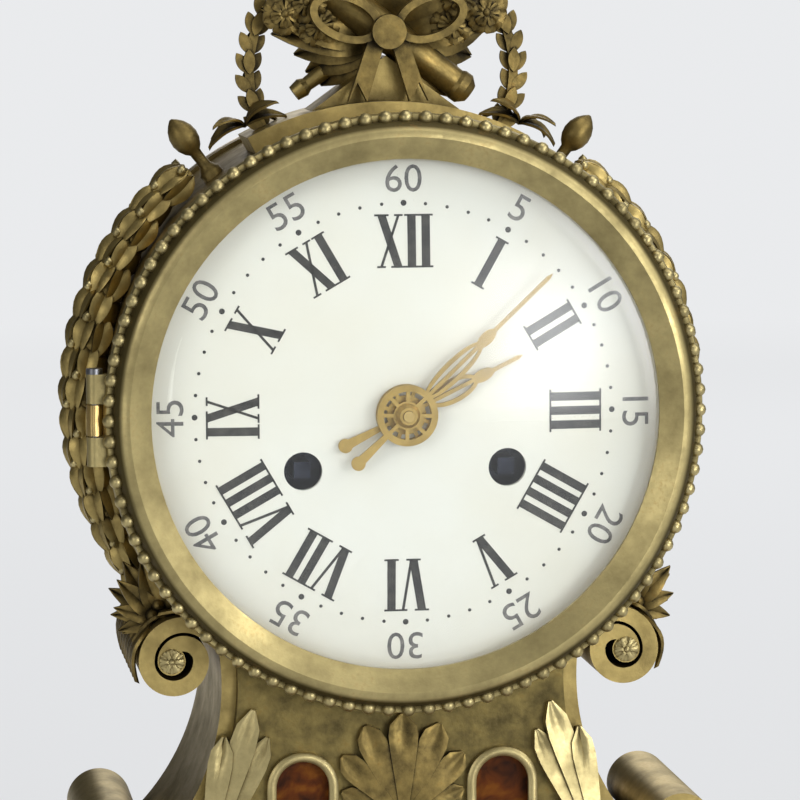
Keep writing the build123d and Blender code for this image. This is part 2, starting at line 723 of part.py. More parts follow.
def finial_quiver():
    r, low, high = QUIVER_RADIUS, -TROPHY_FOOT_LENGTH, TROPHY_HEAD_LENGTH
    tube = upright([
        (0, low), (0.5 * r, low), (0.85 * r, low + 0.4 * r), (0.85 * r, low + 0.8 * r),
        (0.75 * r, low + r), (r, 0), (r, high - 1.4 * r), (1.15 * r, high - 1.2 * r),
        (1.15 * r, high - 0.3 * r), (r, high), (0, high)])
    vane = Box(FLETCH_WIDTH, FLETCH_THICKNESS, FLETCH_LENGTH)
    for x, y, lift in ARROWS:
        tube += Pos(x, y, high + lift / 2) * Cylinder(ARROW_RADIUS, lift + 2 * ARROW_ROOT)
        tube += Pos(x, y, high + lift - FLETCH_LENGTH / 2) * (vane + Rot(0, 0, 90) * vane)
    return leaning(tube, -1, ORNAMENT_Y - TROPHY_SPACING)


def finial_torch():
    r, low, high = TORCH_RADIUS, -TROPHY_FOOT_LENGTH, TROPHY_HEAD_LENGTH
    torch = upright([
        (0, low), (0.45 * r, low), (0.55 * r, low + 0.6 * r), (0.4 * r, low + 0.9 * r), (0.7 * r, 0),
        (r, high - 1.8 * r), (1.25 * r, high - 1.5 * r), (1.25 * r, high - 0.9 * r),
        (0.8 * r, high - 0.75 * r), (1.1 * r, high), (0.95 * r, high + 0.9 * r),
        (0.4 * r, high + 1.9 * r), (0, high + 2.6 * r)])
    below, above = TORCH_COLLAR
    torch += Pos(0, 0, (below + above) / 2) * Cylinder(QUIVER_RADIUS, above - below)
    return leaning(torch, 1, ORNAMENT_Y + TROPHY_SPACING)


def finial_ribbon():
    """A tied bow in front of the crossing, with two notched tails."""
    back = ORNAMENT_Y - TROPHY_SPACING - QUIVER_RADIUS - SEAT_GAP
    front = back - RIBBON_DEPTH
    at = (0.0, TROPHY_CROSSING)
    loop = Ellipse(LOOP_LENGTH, LOOP_HEIGHT) - Ellipse(LOOP_LENGTH - LOOP_WALL, LOOP_HEIGHT - LOOP_WALL)
    loop = Pos(*LOOP_PLACE) * Rot(0, 0, LOOP_TILT) * loop
    notch = (TAIL_SPREAD - TAIL_WIDTH / 2, TAIL_WIDTH - TAIL_LENGTH)
    tail = outline((0, 0), (KNOT_RADIUS, 0), (TAIL_SPREAD, -TAIL_LENGTH), notch,
                   (TAIL_SPREAD - TAIL_WIDTH, -TAIL_LENGTH))
    bow = slab(Circle(KNOT_RADIUS), front - KNOT_PROUD, back, at)
    bow += both_sides(slab(tail, front + TAIL_INSET, back, at))
    return bow + both_sides(slab(loop, front, back, at))


def leaf():
    """A pointed leaf lying along +X from its stalk."""
    side = ThreePointArc((0, 0), (LEAF_LENGTH / 2, LEAF_WIDTH / 2), (LEAF_LENGTH, 0))
    return make_face([side, mirror(side, about=Plane.XZ)])


def finial_branches():
    """Laurel sprays at both sides, rising from the ends of the saddle."""
    stem_back = ORNAMENT_Y + BRANCH_STEM / 2
    arc = (BRANCH_CENTRE, BRANCH_RADIUS, BRANCH_START, BRANCH_SWEEP)
    spray = slab(band([arc], BRANCH_STEM), stem_back - BRANCH_STEM, stem_back)
    for n in range(BRANCH_STATIONS):
        angle = BRANCH_START + BRANCH_SWEEP * (n + 0.6) / BRANCH_STATIONS
        at = polar(BRANCH_RADIUS, angle, BRANCH_CENTRE)
        lift = LEAF_TIP_OFFSET * (-1) ** n
        for side, y in ((-LEAF_SPLAY, -LEAF_OFFSET), (LEAF_SPLAY, LEAF_OFFSET), (0, lift)):
            blade = Rot(0, 0, angle + 90 + side) * leaf()
            back = ORNAMENT_Y + y + LEAF_THICKNESS / 2
            spray += slab(blade, back - LEAF_THICKNESS, back, at)
    spray = off_drum(spray, DRUM_RADIUS + 2 * SEAT_GAP + SADDLE_THICKNESS)
    return Compound([spray, mirror(spray, about=Plane.YZ)])


def case_bolts():
    """Two bolts through drum, cradle and waist, two through the plinth into the waist."""
    inner = DRUM_RADIUS - DRUM_WALL
    head_z = -sqrt(inner ** 2 - BOLT_HEAD ** 2) + SEAT_GAP
    nut_z = -(CRADLE_OUTER + SEAT_GAP + WAIST_WALL) - SEAT_GAP
    bolts = []
    for y in DRUM_BOLT_YS:
        head = Pos(0, 0, head_z + BOLT_HEAD_HEIGHT / 2) * Cylinder(BOLT_HEAD, BOLT_HEAD_HEIGHT)
        shank_length = head_z - nut_z + BOLT_NUT_HEIGHT + BOLT_END
        shank = Pos(0, 0, head_z - shank_length / 2) * Cylinder(BOLT_RADIUS, shank_length)
        nut = extrude(Pos(0, 0, nut_z - BOLT_NUT_HEIGHT) * RegularPolygon(BOLT_HEAD, 6), BOLT_NUT_HEIGHT)
        bolts.append(Pos(0, y, DIAL_Z) * (head + shank + nut))
    length = FRAME_HEIGHT + PLINTH_HEIGHT + WAIST_BASE_HEIGHT + BOSS_HEIGHT - BOLT_END
    long_bolt = Cylinder(BOLT_HEAD, BOLT_HEAD_HEIGHT, align=(Align.CENTER, Align.CENTER, Align.MAX))
    long_bolt += Cylinder(BOLT_RADIUS, length, align=(Align.CENTER, Align.CENTER, Align.MIN))
    for side in (-1, 1):
        bolts.append(Pos(side * PLINTH_BOLT_X, PLINTH_BOLT_Y, FRAME_Z) * long_bolt)
    return Compound(bolts)


# Front: dial, bezel and glass

FLANGE_FRONT = DRUM_FRONT - FLANGE_THICKNESS
CARRIER_FRONT = CARRIER_BACK - CARRIER_THICKNESS
BEZEL_BACK = FLANGE_FRONT - DOOR_GAP
BEZEL_FRONT = BEZEL_BACK - BEZEL_DEPTH
SPIGOT_RADIUS = DRUM_RADIUS - DRUM_WALL - SPIGOT_PLAY
CENTRE = (0.0, 0.0)
GOING = (WINDING_SPREAD, -WINDING_DROP)
STRIKE = (-WINDING_SPREAD, -WINDING_DROP)


def dome(edge_radius, edge_y, rise):
    """An arc from the axis to an edge, standing forward by its rise in the middle."""
    radius = (edge_radius ** 2 + rise ** 2) / (2 * rise)
    return CenterArc((0, edge_y - rise + radius), radius, -90, degrees(asin(edge_radius / radius)))


def knuckle(x, y, low, high):
    """A hinge barrel along Z, bored for its pin."""
    face = Pos(x, y, DIAL_Z + low) * (Circle(KNUCKLE_RADIUS) - Circle(HINGE_PIN_RADIUS + RUNNING_FIT))
    return extrude(face, high - low)


def hinge_leaf(x, y, inner, outward, low, high):
    """A knuckle with the tab that joins it to the ring of a door or of the case."""
    tab_y = y + outward * KNUCKLE_RADIUS / 2
    middle = (inner + x) / 2
    tab = Pos(middle, tab_y, DIAL_Z + (low + high) / 2) * Box(x - inner, KNUCKLE_RADIUS, high - low)
    barrel = Pos(x, y, DIAL_Z + (low + high) / 2) * Cylinder(KNUCKLE_RADIUS - HINGE_WELD, high - low)
    return tab - barrel + knuckle(x, y, low, high)


FRONT_HINGE = (BEZEL_RADIUS + HINGE_REACH, FLANGE_FRONT - DOOR_GAP / 2)
MIDDLE_KNUCKLE = (-KNUCKLE_LENGTH / 2, KNUCKLE_LENGTH / 2)
SIDE_KNUCKLES = ((KNUCKLE_LENGTH / 2 + KNUCKLE_GAP, 1.5 * KNUCKLE_LENGTH),
                 (-1.5 * KNUCKLE_LENGTH, -KNUCKLE_LENGTH / 2 - KNUCKLE_GAP))


def dial_carrier():
    """The brass pan behind the dial: flange on the drum, posts down to the front plate."""
    rim = DIAL_RADIUS + DIAL_PLAY
    pan = turned(profile(
        (PIPE_HOLE, CARRIER_FRONT), (rim, CARRIER_FRONT), (rim, FLANGE_FRONT), (FLANGE_RADIUS, FLANGE_FRONT),
        (FLANGE_RADIUS, DRUM_FRONT), (SPIGOT_RADIUS, DRUM_FRONT), (SPIGOT_RADIUS, CARRIER_BACK),
        (PIPE_HOLE, CARRIER_BACK)))
    for at in (GOING, STRIKE):
        pan -= rod(ENAMEL_HOLE + HOLE_MARGIN, CARRIER_FRONT, CARRIER_BACK, at)
    for angle in POST_ANGLES:
        pan += rod(POST_RADIUS, CARRIER_BACK, FRONT_PLATE_Y, polar(POST_CIRCLE, angle))
    low, high = MIDDLE_KNUCKLE
    leaf_tab = hinge_leaf(*FRONT_HINGE, FLANGE_RADIUS - HINGE_BITE, 1, low, high)
    return pan + mirror(leaf_tab, about=Plane.YZ)


def dial_enamel():
    front = dome(DIAL_RADIUS, CARRIER_FRONT - DIAL_THICKNESS, DIAL_RISE)
    back = dome(DIAL_RADIUS, CARRIER_FRONT, DIAL_RISE)
    edges = [front, back, Line(front @ 0, back @ 0), Line(front @ 1, back @ 1)]
    dial = turned(edges)
    deep = CARRIER_FRONT - DIAL_RISE - 2 * DIAL_THICKNESS
    for at, radius in ((CENTRE, PIPE_HOLE), (GOING, ENAMEL_HOLE), (STRIKE, ENAMEL_HOLE)):
        dial -= rod(radius, deep, CARRIER_FRONT, at)
    return dial


LIP_Y = BEZEL_BACK - GLASS_SEAT_DEPTH


def front_bezel():
    """A turned ring: cavetto inside, rounded crest, quirk and outer bead, with its hinge."""
    seat = GLASS_RADIUS + GLASS_PLAY
    bead_y = BEZEL_BACK - BEZEL_BEAD_DEPTH
    quirk = BEZEL_RADIUS - BEZEL_QUIRK
    crest = (BEZEL_OPENING + BEZEL_RADIUS) / 2
    lip = LIP_Y - BEZEL_LIP
    edges = [
        Polyline([(quirk, bead_y), (BEZEL_RADIUS, bead_y)]),
        ThreePointArc((BEZEL_RADIUS, bead_y), (BEZEL_RADIUS + BEZEL_BEAD_SWELL, (bead_y + BEZEL_BACK) / 2),
                      (BEZEL_RADIUS, BEZEL_BACK)),
        Polyline([(BEZEL_RADIUS, BEZEL_BACK), (seat, BEZEL_BACK), (seat, LIP_Y), (BEZEL_OPENING, LIP_Y),
                  (BEZEL_OPENING, lip)]),
        ThreePointArc((BEZEL_OPENING, lip), (BEZEL_OPENING + BEZEL_COVE, BEZEL_FRONT + BEZEL_COVE),
                      (crest, BEZEL_FRONT)),
        ThreePointArc((crest, BEZEL_FRONT), (crest + BEZEL_COVE, BEZEL_FRONT + BEZEL_COVE / 3),
                      (quirk, bead_y))]
    ring = turned(edges)
    for low, high in SIDE_KNUCKLES:
        leaf_tab = hinge_leaf(*FRONT_HINGE, BEZEL_RADIUS - HINGE_BITE, -1, low, high)
        ring += mirror(leaf_tab, about=Plane.YZ)
    return ring


def bezel_glass():
    edge = BEZEL_OPENING - GLASS_EDGE
    outer = dome(edge, LIP_Y, GLASS_RISE)
    inner = dome(edge - GLASS_EDGE, LIP_Y + GLASS_THICKNESS, GLASS_RISE)
    rim = Polyline([outer @ 1, (GLASS_RADIUS, LIP_Y), (GLASS_RADIUS, LIP_Y + GLASS_THICKNESS), inner @ 1])
    return turned([outer, inner, rim, Line(outer @ 0, inner @ 0)])


def glass_retainer():
    """A sprung brass ring that holds the glass from behind."""
    front = LIP_Y + GLASS_THICKNESS
    back = BEZEL_BACK - RETAINER_DROP
    inner = BEZEL_OPENING + RETAINER_INSET
    return turned(profile((inner, front), (GLASS_RADIUS, front), (GLASS_RADIUS, back), (inner, back)))


# Back: ring, door and the straps that clamp the drum between front and back

RING_BACK = DRUM_BACK + FLANGE_THICKNESS
DOOR_FRONT = RING_BACK + DOOR_GAP
REAR_HINGE = (FLANGE_RADIUS + HINGE_REACH, RING_BACK + DOOR_GAP / 2)


def rear_ring():
    spigot = SPIGOT_RADIUS - SPIGOT_WALL
    inside = DRUM_BACK - SPIGOT_LENGTH
    ring = turned(profile(
        (RING_INNER, DRUM_BACK), (spigot, DRUM_BACK), (spigot, inside), (SPIGOT_RADIUS, inside),
        (SPIGOT_RADIUS, DRUM_BACK), (FLANGE_RADIUS, DRUM_BACK), (FLANGE_RADIUS, RING_BACK),
        (RING_INNER, RING_BACK)))
    for side in (-1, 1):
        ring -= rod(STRAP_SCREW + RUNNING_FIT, DRUM_BACK, RING_BACK, (side * STRAP_X, 0))
        ring -= rod(SCREW_HEAD + RUNNING_FIT, RING_BACK - SCREW_HEAD_HEIGHT, RING_BACK, (side * STRAP_X, 0))
    low, high = MIDDLE_KNUCKLE
    return ring + hinge_leaf(*REAR_HINGE, FLANGE_RADIUS - HINGE_BITE, -1, low, high)


def rear_door():
    """A dished sheet cover with rings of sound holes and a thumb lip."""
    y0, y1 = DOOR_FRONT, DOOR_FRONT + DOOR_SHEET
    rim, foot, top = DOOR_RADIUS, RING_INNER, RING_INNER - DOOR_DISH
    door = turned(profile(
        (0, y1 + DOOR_DISH), (top, y1 + DOOR_DISH), (foot, y1), (rim, y1), (rim, y0),
        (foot - DOOR_SLANT, y0), (top - DOOR_SLANT, y0 + DOOR_DISH), (0, y0 + DOOR_DISH)))
    for count, inset, radius in zip(SOUND_HOLE_COUNTS, SOUND_HOLE_INSETS, SOUND_HOLE_RADII):
        for n in range(count):
            door -= rod(radius, y0, y1 + DOOR_DISH, polar(RING_INNER - inset, 360 * n / count))
    door += Pos(-DOOR_RADIUS, (y0 + y1) / 2, DIAL_Z) * Box(THUMB_LIP[0], DOOR_SHEET, THUMB_LIP[1])
    for low, high in SIDE_KNUCKLES:
        door += hinge_leaf(*REAR_HINGE, DOOR_RADIUS - HINGE_BITE, 1, low, high)
    return door


def hinge_pins():
    length = 3 * KNUCKLE_LENGTH
    cap = Pos(0, 0, (length + PIN_HEAD_HEIGHT) / 2) * Cylinder(KNUCKLE_RADIUS, PIN_HEAD_HEIGHT)
    pin = Cylinder(HINGE_PIN_RADIUS, length) + cap
    return Compound([Pos(-FRONT_HINGE[0], FRONT_HINGE[1], DIAL_Z) * pin, Pos(*REAR_HINGE, DIAL_Z) * pin])


def movement_straps():
    strap_length = DRUM_BACK - CARRIER_BACK
    strap = Pos(0, CARRIER_BACK + strap_length / 2, 0) * Box(STRAP_THICKNESS, strap_length, STRAP_WIDTH)
    block = Box(STRAP_BLOCK, STRAP_BLOCK_LENGTH, STRAP_WIDTH)
    strap += Pos(0, DRUM_BACK - STRAP_BLOCK_LENGTH / 2, 0) * block
    strap = Pos(0, 0, DIAL_Z) * strap
    strap -= rod(STRAP_SCREW + RUNNING_FIT, DRUM_BACK - STRAP_SCREW_LENGTH - SCREW_END_ROOM, DRUM_BACK)
    return Compound([Pos(side * STRAP_X, 0, 0) * strap for side in (-1, 1)])


def strap_screws():
    screws = []
    for side in (-1, 1):
        at = (side * STRAP_X, 0)
        shank = rod(STRAP_SCREW, DRUM_BACK - STRAP_SCREW_LENGTH, RING_BACK, at)
        screws.append(shank + rod(SCREW_HEAD, RING_BACK - SCREW_HEAD_HEIGHT, RING_BACK, at))
    return Compound(screws)


# Places of the arbors

HOUR_MODULE = CANNON_MODULE * (CANNON_LEAVES + MINUTE_WHEEL) / (MINUTE_LEAVES + HOUR_WHEEL)


def meshing(wheel, pinion, module):
    return (wheel + pinion) * module / 2


def crossing(start, reach, end, other_reach, side):
    """The place at given distances from two others, to one side of the line between them."""
    apart = hypot(end[0] - start[0], end[1] - start[1])
    corner = acos((apart ** 2 + reach ** 2 - other_reach ** 2) / (2 * apart * reach))
    return polar(reach, bearing(start, end) + side * degrees(corner), start)


SECOND = crossing(CENTRE, meshing(SECOND_WHEEL, CENTRE_PINION, SECOND_MODULE),
                  GOING, meshing(GREAT_WHEEL, GREAT_PINION, GREAT_MODULE), 1)
THIRD = polar(meshing(CENTRE_WHEEL, THIRD_PINION, CENTRE_MODULE), THIRD_BEARING)
ESCAPE_REACH = meshing(THIRD_WHEEL, ESCAPE_PINION, THIRD_MODULE)
ESCAPE = (0.0, THIRD[1] + sqrt(ESCAPE_REACH ** 2 - THIRD[0] ** 2))
ANCHOR = (0.0, ESCAPE[1] + ANCHOR_DISTANCE)
STRIKE_SECOND = polar(meshing(GREAT_WHEEL, GREAT_PINION, GREAT_MODULE), STRIKE_SECOND_BEARING, STRIKE)
PIN = polar(meshing(STRIKE_WHEEL, PIN_PINION, STRIKE_MODULE), PIN_BEARING, STRIKE_SECOND)
WARNING = polar(meshing(PIN_WHEEL, WARNING_PINION, PIN_MODULE), WARNING_BEARING, PIN)
FLY = polar(meshing(WARNING_WHEEL, FLY_PINION, WARNING_MODULE), FLY_BEARING, WARNING)
MINUTE = polar(meshing(MINUTE_WHEEL, CANNON_LEAVES, CANNON_MODULE), MINUTE_BEARING)
SMALL_ARBORS = (SECOND, THIRD, ESCAPE, STRIKE_SECOND, PIN, WARNING, FLY, HAMMER)

# Depths of the wheels between the plates
INNER_FRONT = FRONT_PLATE_Y + PLATE_THICKNESS
INNER_BACK = BACK_PLATE_Y - PLATE_THICKNESS
GREAT_Y = BARREL_FRONT + BARREL_HEIGHT
SECOND_Y = GREAT_Y + SECOND_STEP
CENTRE_Y = SECOND_Y + WHEEL_STEP
BACK_WHEEL_Y = CENTRE_Y + WHEEL_STEP
CANNON_Y = FRONT_PLATE_Y - WHEEL_STEP
HOUR_Y = CANNON_Y - WHEEL_STEP


def teeth(count, module, towards, gap, shape):
    """A toothed outline with a tooth, or the gap between two, pointing along a bearing."""
    root, tip, root_share, tip_share = shape
    pitch = 360 / count
    pitch_radius = count * module / 2
    inner, outer = pitch_radius - root * module, pitch_radius + tip * module
    root_half, tip_half = root_share / 2, tip_share / 2
    corners = ((inner, -root_half), (outer, -tip_half), (outer, tip_half), (inner, root_half))
    start = towards + (pitch / 2 if gap else 0)
    points = [polar(radius, start + (n + share) * pitch) for n in range(count) for radius, share in corners]
    return outline(*points)


def wheel_teeth(count, module, towards, gap=False):
    return teeth(count, module, towards, gap, WHEEL_TOOTH)


def pinion_teeth(count, module, towards, gap=True):
    return teeth(count, module, towards, gap, PINION_LEAF)


def crossings(rim, hub=HUB_RADIUS, arm=ARM_WIDTH):
    """The openings between the four arms of a wheel."""
    opening = Circle(rim) - Circle(hub)
    for turn in (0, 90):
        opening -= Rot(0, 0, turn) * Rectangle(3 * rim, arm)
    return opening


def leaf_root(count, module):
    return count * module / 2 - PINION_LEAF[0] * module


def crossed_wheel(count, module, towards, front, at):
    rim = count * module / 2 - 2 * WHEEL_TOOTH[0] * module - RIM_WALL
    sketch = wheel_teeth(count, module, towards) - crossings(rim)
    return slab(sketch, front, front + WHEEL_THICKNESS, at)


def pinion(count, module, towards, wheel_y, at):
    """A pinion a little longer than the wheel it meshes with."""
    leaves = pinion_teeth(count, module, towards)
    return slab(leaves, wheel_y - PINION_MARGIN, wheel_y + WHEEL_THICKNESS + PINION_MARGIN, at)


def staff(at, radius=ARBOR_RADIUS, pivot=PIVOT_RADIUS):
    """An arbor between the plates with a pivot at each end."""
    body = rod(radius, INNER_FRONT + END_SHAKE, INNER_BACK - END_SHAKE, at)
    return body + rod(pivot, FRONT_PLATE_Y, BACK_PLATE_Y, at)


def arbor_set(at, wheel, wheel_y, wheel_to, pinion_spec, pinion_y, pinion_to):
    """A wheel and a pinion riveted on one arbor, each turned so that it meshes."""
    count, module = wheel
    leaves, pinion_module = pinion_spec
    piece = staff(at, min(ARBOR_RADIUS, leaf_root(leaves, pinion_module)))
    piece += crossed_wheel(count, module, bearing(at, wheel_to), wheel_y, at)
    piece += rod(COLLET_RADIUS, wheel_y - PINION_MARGIN, wheel_y + WHEEL_THICKNESS, at)
    return piece + pinion(leaves, pinion_module, bearing(at, pinion_to), pinion_y, at)


def barrel(at, mesh_to):
    """A mainspring barrel with the great wheel's teeth round its back."""
    teeth_face = wheel_teeth(GREAT_WHEEL, GREAT_MODULE, bearing(at, mesh_to))
    back = GREAT_Y + GREAT_THICKNESS
    drum = rod(BARREL_RADIUS, BARREL_FRONT, GREAT_Y, at) + slab(teeth_face, GREAT_Y, back, at)
    drum += rod(BARREL_BOSS, BARREL_FRONT - BARREL_BOSS_HEIGHT, back + BARREL_BOSS_HEIGHT, at)
    return drum - rod(WINDING_ARBOR + RUNNING_FIT, FRONT_PLATE_Y, BACK_PLATE_Y, at)


def ratchet_teeth():
    points = []
    for n in range(RATCHET_TEETH):
        points.append(polar(RATCHET_RADIUS, 360 * n / RATCHET_TEETH))
        points.append(polar(RATCHET_RADIUS - RATCHET_DEPTH, 360 * (n + RATCHET_RAKE) / RATCHET_TEETH))
    return outline(*points)


RATCHET_Y = FRONT_PLATE_Y - RATCHET_GAP - RATCHET_THICKNESS
SQUARE_END = CARRIER_FRONT - SQUARE_PROUD


def winding_arbor(at):
    """An arbor with its winding square in front, its ratchet wheel and its back pivot."""
    arbor = rod(WINDING_ARBOR, RATCHET_Y, INNER_BACK - END_SHAKE, at)
    arbor += rod(BACK_PIVOT, GREAT_Y, BACK_PLATE_Y, at)
    arbor += slab(ratchet_teeth(), RATCHET_Y, RATCHET_Y + RATCHET_THICKNESS, at)
    return arbor + slab(Rectangle(WINDING_SQUARE, WINDING_SQUARE), SQUARE_END, RATCHET_Y, at)


def winding_clicks():
    """Clicks that hold the ratchet wheels, each with its spring tail, on the front plate."""
    pivot, heel = polar(*CLICK_PIVOT), polar(*CLICK_HEEL)
    nose = polar(RATCHET_RADIUS + CLICK_NOSE_GAP, CLICK_NOSE_ANGLE)
    shoulder = polar(RATCHET_RADIUS + RATCHET_DEPTH, CLICK_SHOULDER_ANGLE)
    beak = outline(nose, shoulder, pivot, heel) + Pos(*pivot) * Circle(CLICK_BOSS)
    tail = Pos(*pivot) * Rot(0, 0, CLICK_TAIL_ANGLE) * (Pos(CLICK_TAIL[0] / 2, 0) * Rectangle(*CLICK_TAIL))
    click = slab(beak + tail, RATCHET_Y, FRONT_PLATE_Y, GOING)
    click += rod(CLICK_SCREW, RATCHET_Y - CLICK_SCREW_HEIGHT, RATCHET_Y, polar(*CLICK_PIVOT, GOING))
    return Compound([click, mirror(click, about=Plane.YZ)])


# Frame of the movement

def pillar_places():
    return [polar(PILLAR_CIRCLE, angle) for angle in PILLAR_ANGLES]


def drilled_plate():
    """A round plate with the holes that both plates share."""
    sheet = Circle(PLATE_RADIUS)
    for at in SMALL_ARBORS:
        sheet -= Pos(*at) * Circle(PIVOT_RADIUS + RUNNING_FIT)
    for at in pillar_places():
        sheet -= Pos(*at) * Circle(TENON + RUNNING_FIT)
    return sheet


def front_plate():
    sheet = drilled_plate() - Circle(CENTRE_ARBOR + RUNNING_FIT)
    sheet -= Pos(*ANCHOR) * Circle(PIVOT_RADIUS + RUNNING_FIT)
    for at in (GOING, STRIKE):
        sheet -= Pos(*at) * Circle(WINDING_ARBOR + RUNNING_FIT)
    body = slab(sheet, FRONT_PLATE_Y, INNER_FRONT)
    return body + rod(STUD_RADIUS, HOUR_Y - STUD_END, FRONT_PLATE_Y, MINUTE)


def back_plate():
    sheet = drilled_plate() - Circle(PIVOT_RADIUS + RUNNING_FIT) - Pos(*ANCHOR) * Circle(ANCHOR_WELL)
    for at in (GOING, STRIKE):
        sheet -= Pos(*at) * Circle(BACK_PIVOT + RUNNING_FIT)
    for at in (STRIKE_SECOND, HAMMER):
        sheet -= Pos(*at) * Circle(THROUGH_ARBOR + RUNNING_FIT)
    return slab(sheet, INNER_BACK, BACK_PLATE_Y)


def plate_pillars():
    """Turned pillars, shouldered between the plates and nutted in front."""
    r, low, high = PILLAR_RADIUS, INNER_FRONT, INNER_BACK
    waist, collar, knop = 0.7 * PILLAR_RADIUS, PILLAR_COLLAR, PILLAR_KNOP
    middle = (low + high) / 2
    pillars = []
    for at in pillar_places():
        body = turned(profile(
            (0, FRONT_PLATE_Y - NUT_THICKNESS), (TENON, FRONT_PLATE_Y - NUT_THICKNESS), (TENON, low),
            (r, low), (r, low + collar), (waist, low + collar + r / 2), (waist, middle - knop),
            (r, middle), (waist, middle + knop), (waist, high - collar - r / 2), (r, high - collar),
            (r, high), (TENON, high), (TENON, BACK_PLATE_Y), (0, BACK_PLATE_Y)), at)
        pillars.append(body)
    return Compound(pillars)


BELL_CENTRE = (0.0, -BELL_DROP)
BELL_FLAT = BELL_FRONT + BELL_DEPTH


def movement_nuts():
    ring = RegularPolygon(NUT_RADIUS, 6) - Circle(TENON + TENON_PLAY)
    nuts = [slab(ring, FRONT_PLATE_Y - NUT_THICKNESS, FRONT_PLATE_Y, at) for at in pillar_places()]
    nuts.append(slab(ring, BELL_FLAT, BELL_FLAT + NUT_THICKNESS, BELL_CENTRE))
    return Compound(nuts)


COCK_Y = BACK_PLATE_Y + COCK_LIFT


def anchor_cock():
    """A bridge on the back plate for the rear pivot of the anchor."""
    bar = Rectangle(2 * COCK_HALF, COCK_WIDTH) - Circle(PIVOT_RADIUS + RUNNING_FIT)
    foot = Pos(COCK_HALF - COCK_FOOT / 2, 0) * Rectangle(COCK_FOOT, COCK_WIDTH)
    cock = slab(bar, COCK_Y, COCK_Y + COCK_THICKNESS, ANCHOR)
    return cock + both_sides(slab(foot, BACK_PLATE_Y, COCK_Y, ANCHOR))


def suspension_block():
    """Two cheeks on the cock that grip the suspension spring above its bending point."""
    half, slit = BLOCK_WIDTH / 2, SLIT_HALF
    block = outline((-half, BLOCK_TOP), (-half, BLOCK_BOTTOM), (-slit, BLOCK_BOTTOM), (-slit, SLIT_TOP),
                    (slit, SLIT_TOP), (slit, BLOCK_BOTTOM), (half, BLOCK_BOTTOM), (half, BLOCK_TOP))
    return slab(block, COCK_Y + COCK_THICKNESS, PENDULUM_Y + BLOCK_REACH, ANCHOR)


def bell_curve(radius, depth):
    """Points from the rim of the bell to the edge of its flat crown."""
    crown = radians(BELL_CROWN_ANGLE)
    angles = [crown * n / BELL_CURVE_STEPS for n in range(BELL_CURVE_STEPS + 1)]
    return [(radius * cos(angle), BELL_FRONT + depth * sin(angle) / sin(crown)) for angle in angles]


def bell():
    outside = bell_curve(BELL_RADIUS, BELL_DEPTH)
    inside = bell_curve(BELL_RADIUS - BELL_WALL, BELL_DEPTH - BELL_WALL)
    hole = BELL_STUD + RUNNING_FIT
    edges = [Spline(outside), Spline(inside), Line(outside[0], inside[0]),
             Polyline([outside[-1], (hole, BELL_FLAT), (hole, BELL_FLAT - BELL_WALL), inside[-1]])]
    return turned(edges, BELL_CENTRE)


def bell_stand():
    """A post on the back plate with an arm inside the bell and a stud through its crown."""
    shoulder = BELL_FLAT - BELL_WALL
    arm_width, arm_thickness = STAND_ARM
    arm_back = shoulder - STAND_ARM_DROP
    post = rod(STAND_FLANGE[0], BACK_PLATE_Y, BACK_PLATE_Y + STAND_FLANGE[1], STAND_FOOT)
    post += rod(STAND_POST, BACK_PLATE_Y, arm_back, STAND_FOOT)
    length = hypot(STAND_FOOT[0] - BELL_CENTRE[0], STAND_FOOT[1] - BELL_CENTRE[1])
    arm = Pos(length / 2, 0) * SlotCenterToCenter(length, arm_width)
    arm = Rot(0, 0, bearing(STAND_FOOT, BELL_CENTRE)) * arm
    post += slab(arm, arm_back - arm_thickness, arm_back, STAND_FOOT)
    post += rod(STAND_BOSS, arm_back - arm_thickness, shoulder, BELL_CENTRE)
    return post + rod(BELL_STUD, shoulder, BELL_FLAT + NUT_THICKNESS, BELL_CENTRE)


# Hands and motion work

HOUR_HAND_Y = CARRIER_FRONT - DIAL_RISE - DIAL_THICKNESS - DIAL_TO_HAND
MINUTE_HAND_Y = HOUR_HAND_Y - HAND_TO_HAND
NUT_END = MINUTE_HAND_Y - ARBOR_END


def pierced(length, oval_half, bore):
    """A flat hand pointing along +X: pierced boss, open oval, needle and counter tail."""
    half = length / 6
    reach = half + OVAL_OVERLAP
    oval = Ellipse(reach, oval_half) - Ellipse(reach - OVAL_WALL, oval_half - OVAL_WALL)
    oval = Pos(HAND_BOSS + half, 0) * oval
    neck = length - NEEDLE_POINT
    start = HAND_BOSS - BOSS_RIM / 2
    needle = outline((start, -NEEDLE_HALF), (neck, -NEEDLE_HALF), (length, 0), (neck, NEEDLE_HALF),
                     (start, NEEDLE_HALF))
    spade = Pos(HAND_BOSS + 2 * half + SPADE[0], 0) * Ellipse(*SPADE)
    boss = Circle(HAND_BOSS) - Circle(HAND_BOSS - BOSS_RIM)
    for n in range(BOSS_SPOKES):
        boss += Rot(0, 0, 180 * n / BOSS_SPOKES) * Rectangle(2 * HAND_BOSS - BOSS_RIM, SPOKE_WIDTH)
    boss += Circle(bore + BOSS_EYE_WALL)
    root, thin, wide = BOSS_RIM / 2 - HAND_BOSS, *TAIL_HALF
    tail = outline((root, -thin), (root, thin), (-TAIL_REACH, wide), (-TAIL_REACH, -wide))
    tail += Pos(-TAIL_REACH, 0) * Circle(TAIL_DISC)
    return boss + oval + needle + spade + tail - Circle(bore)


MINUTE_HAND_ANGLE = 90 - 6 * SHOWN_MINUTES
HOUR_HAND_ANGLE = 90 - 30 * (SHOWN_HOURS + SHOWN_MINUTES / 60)


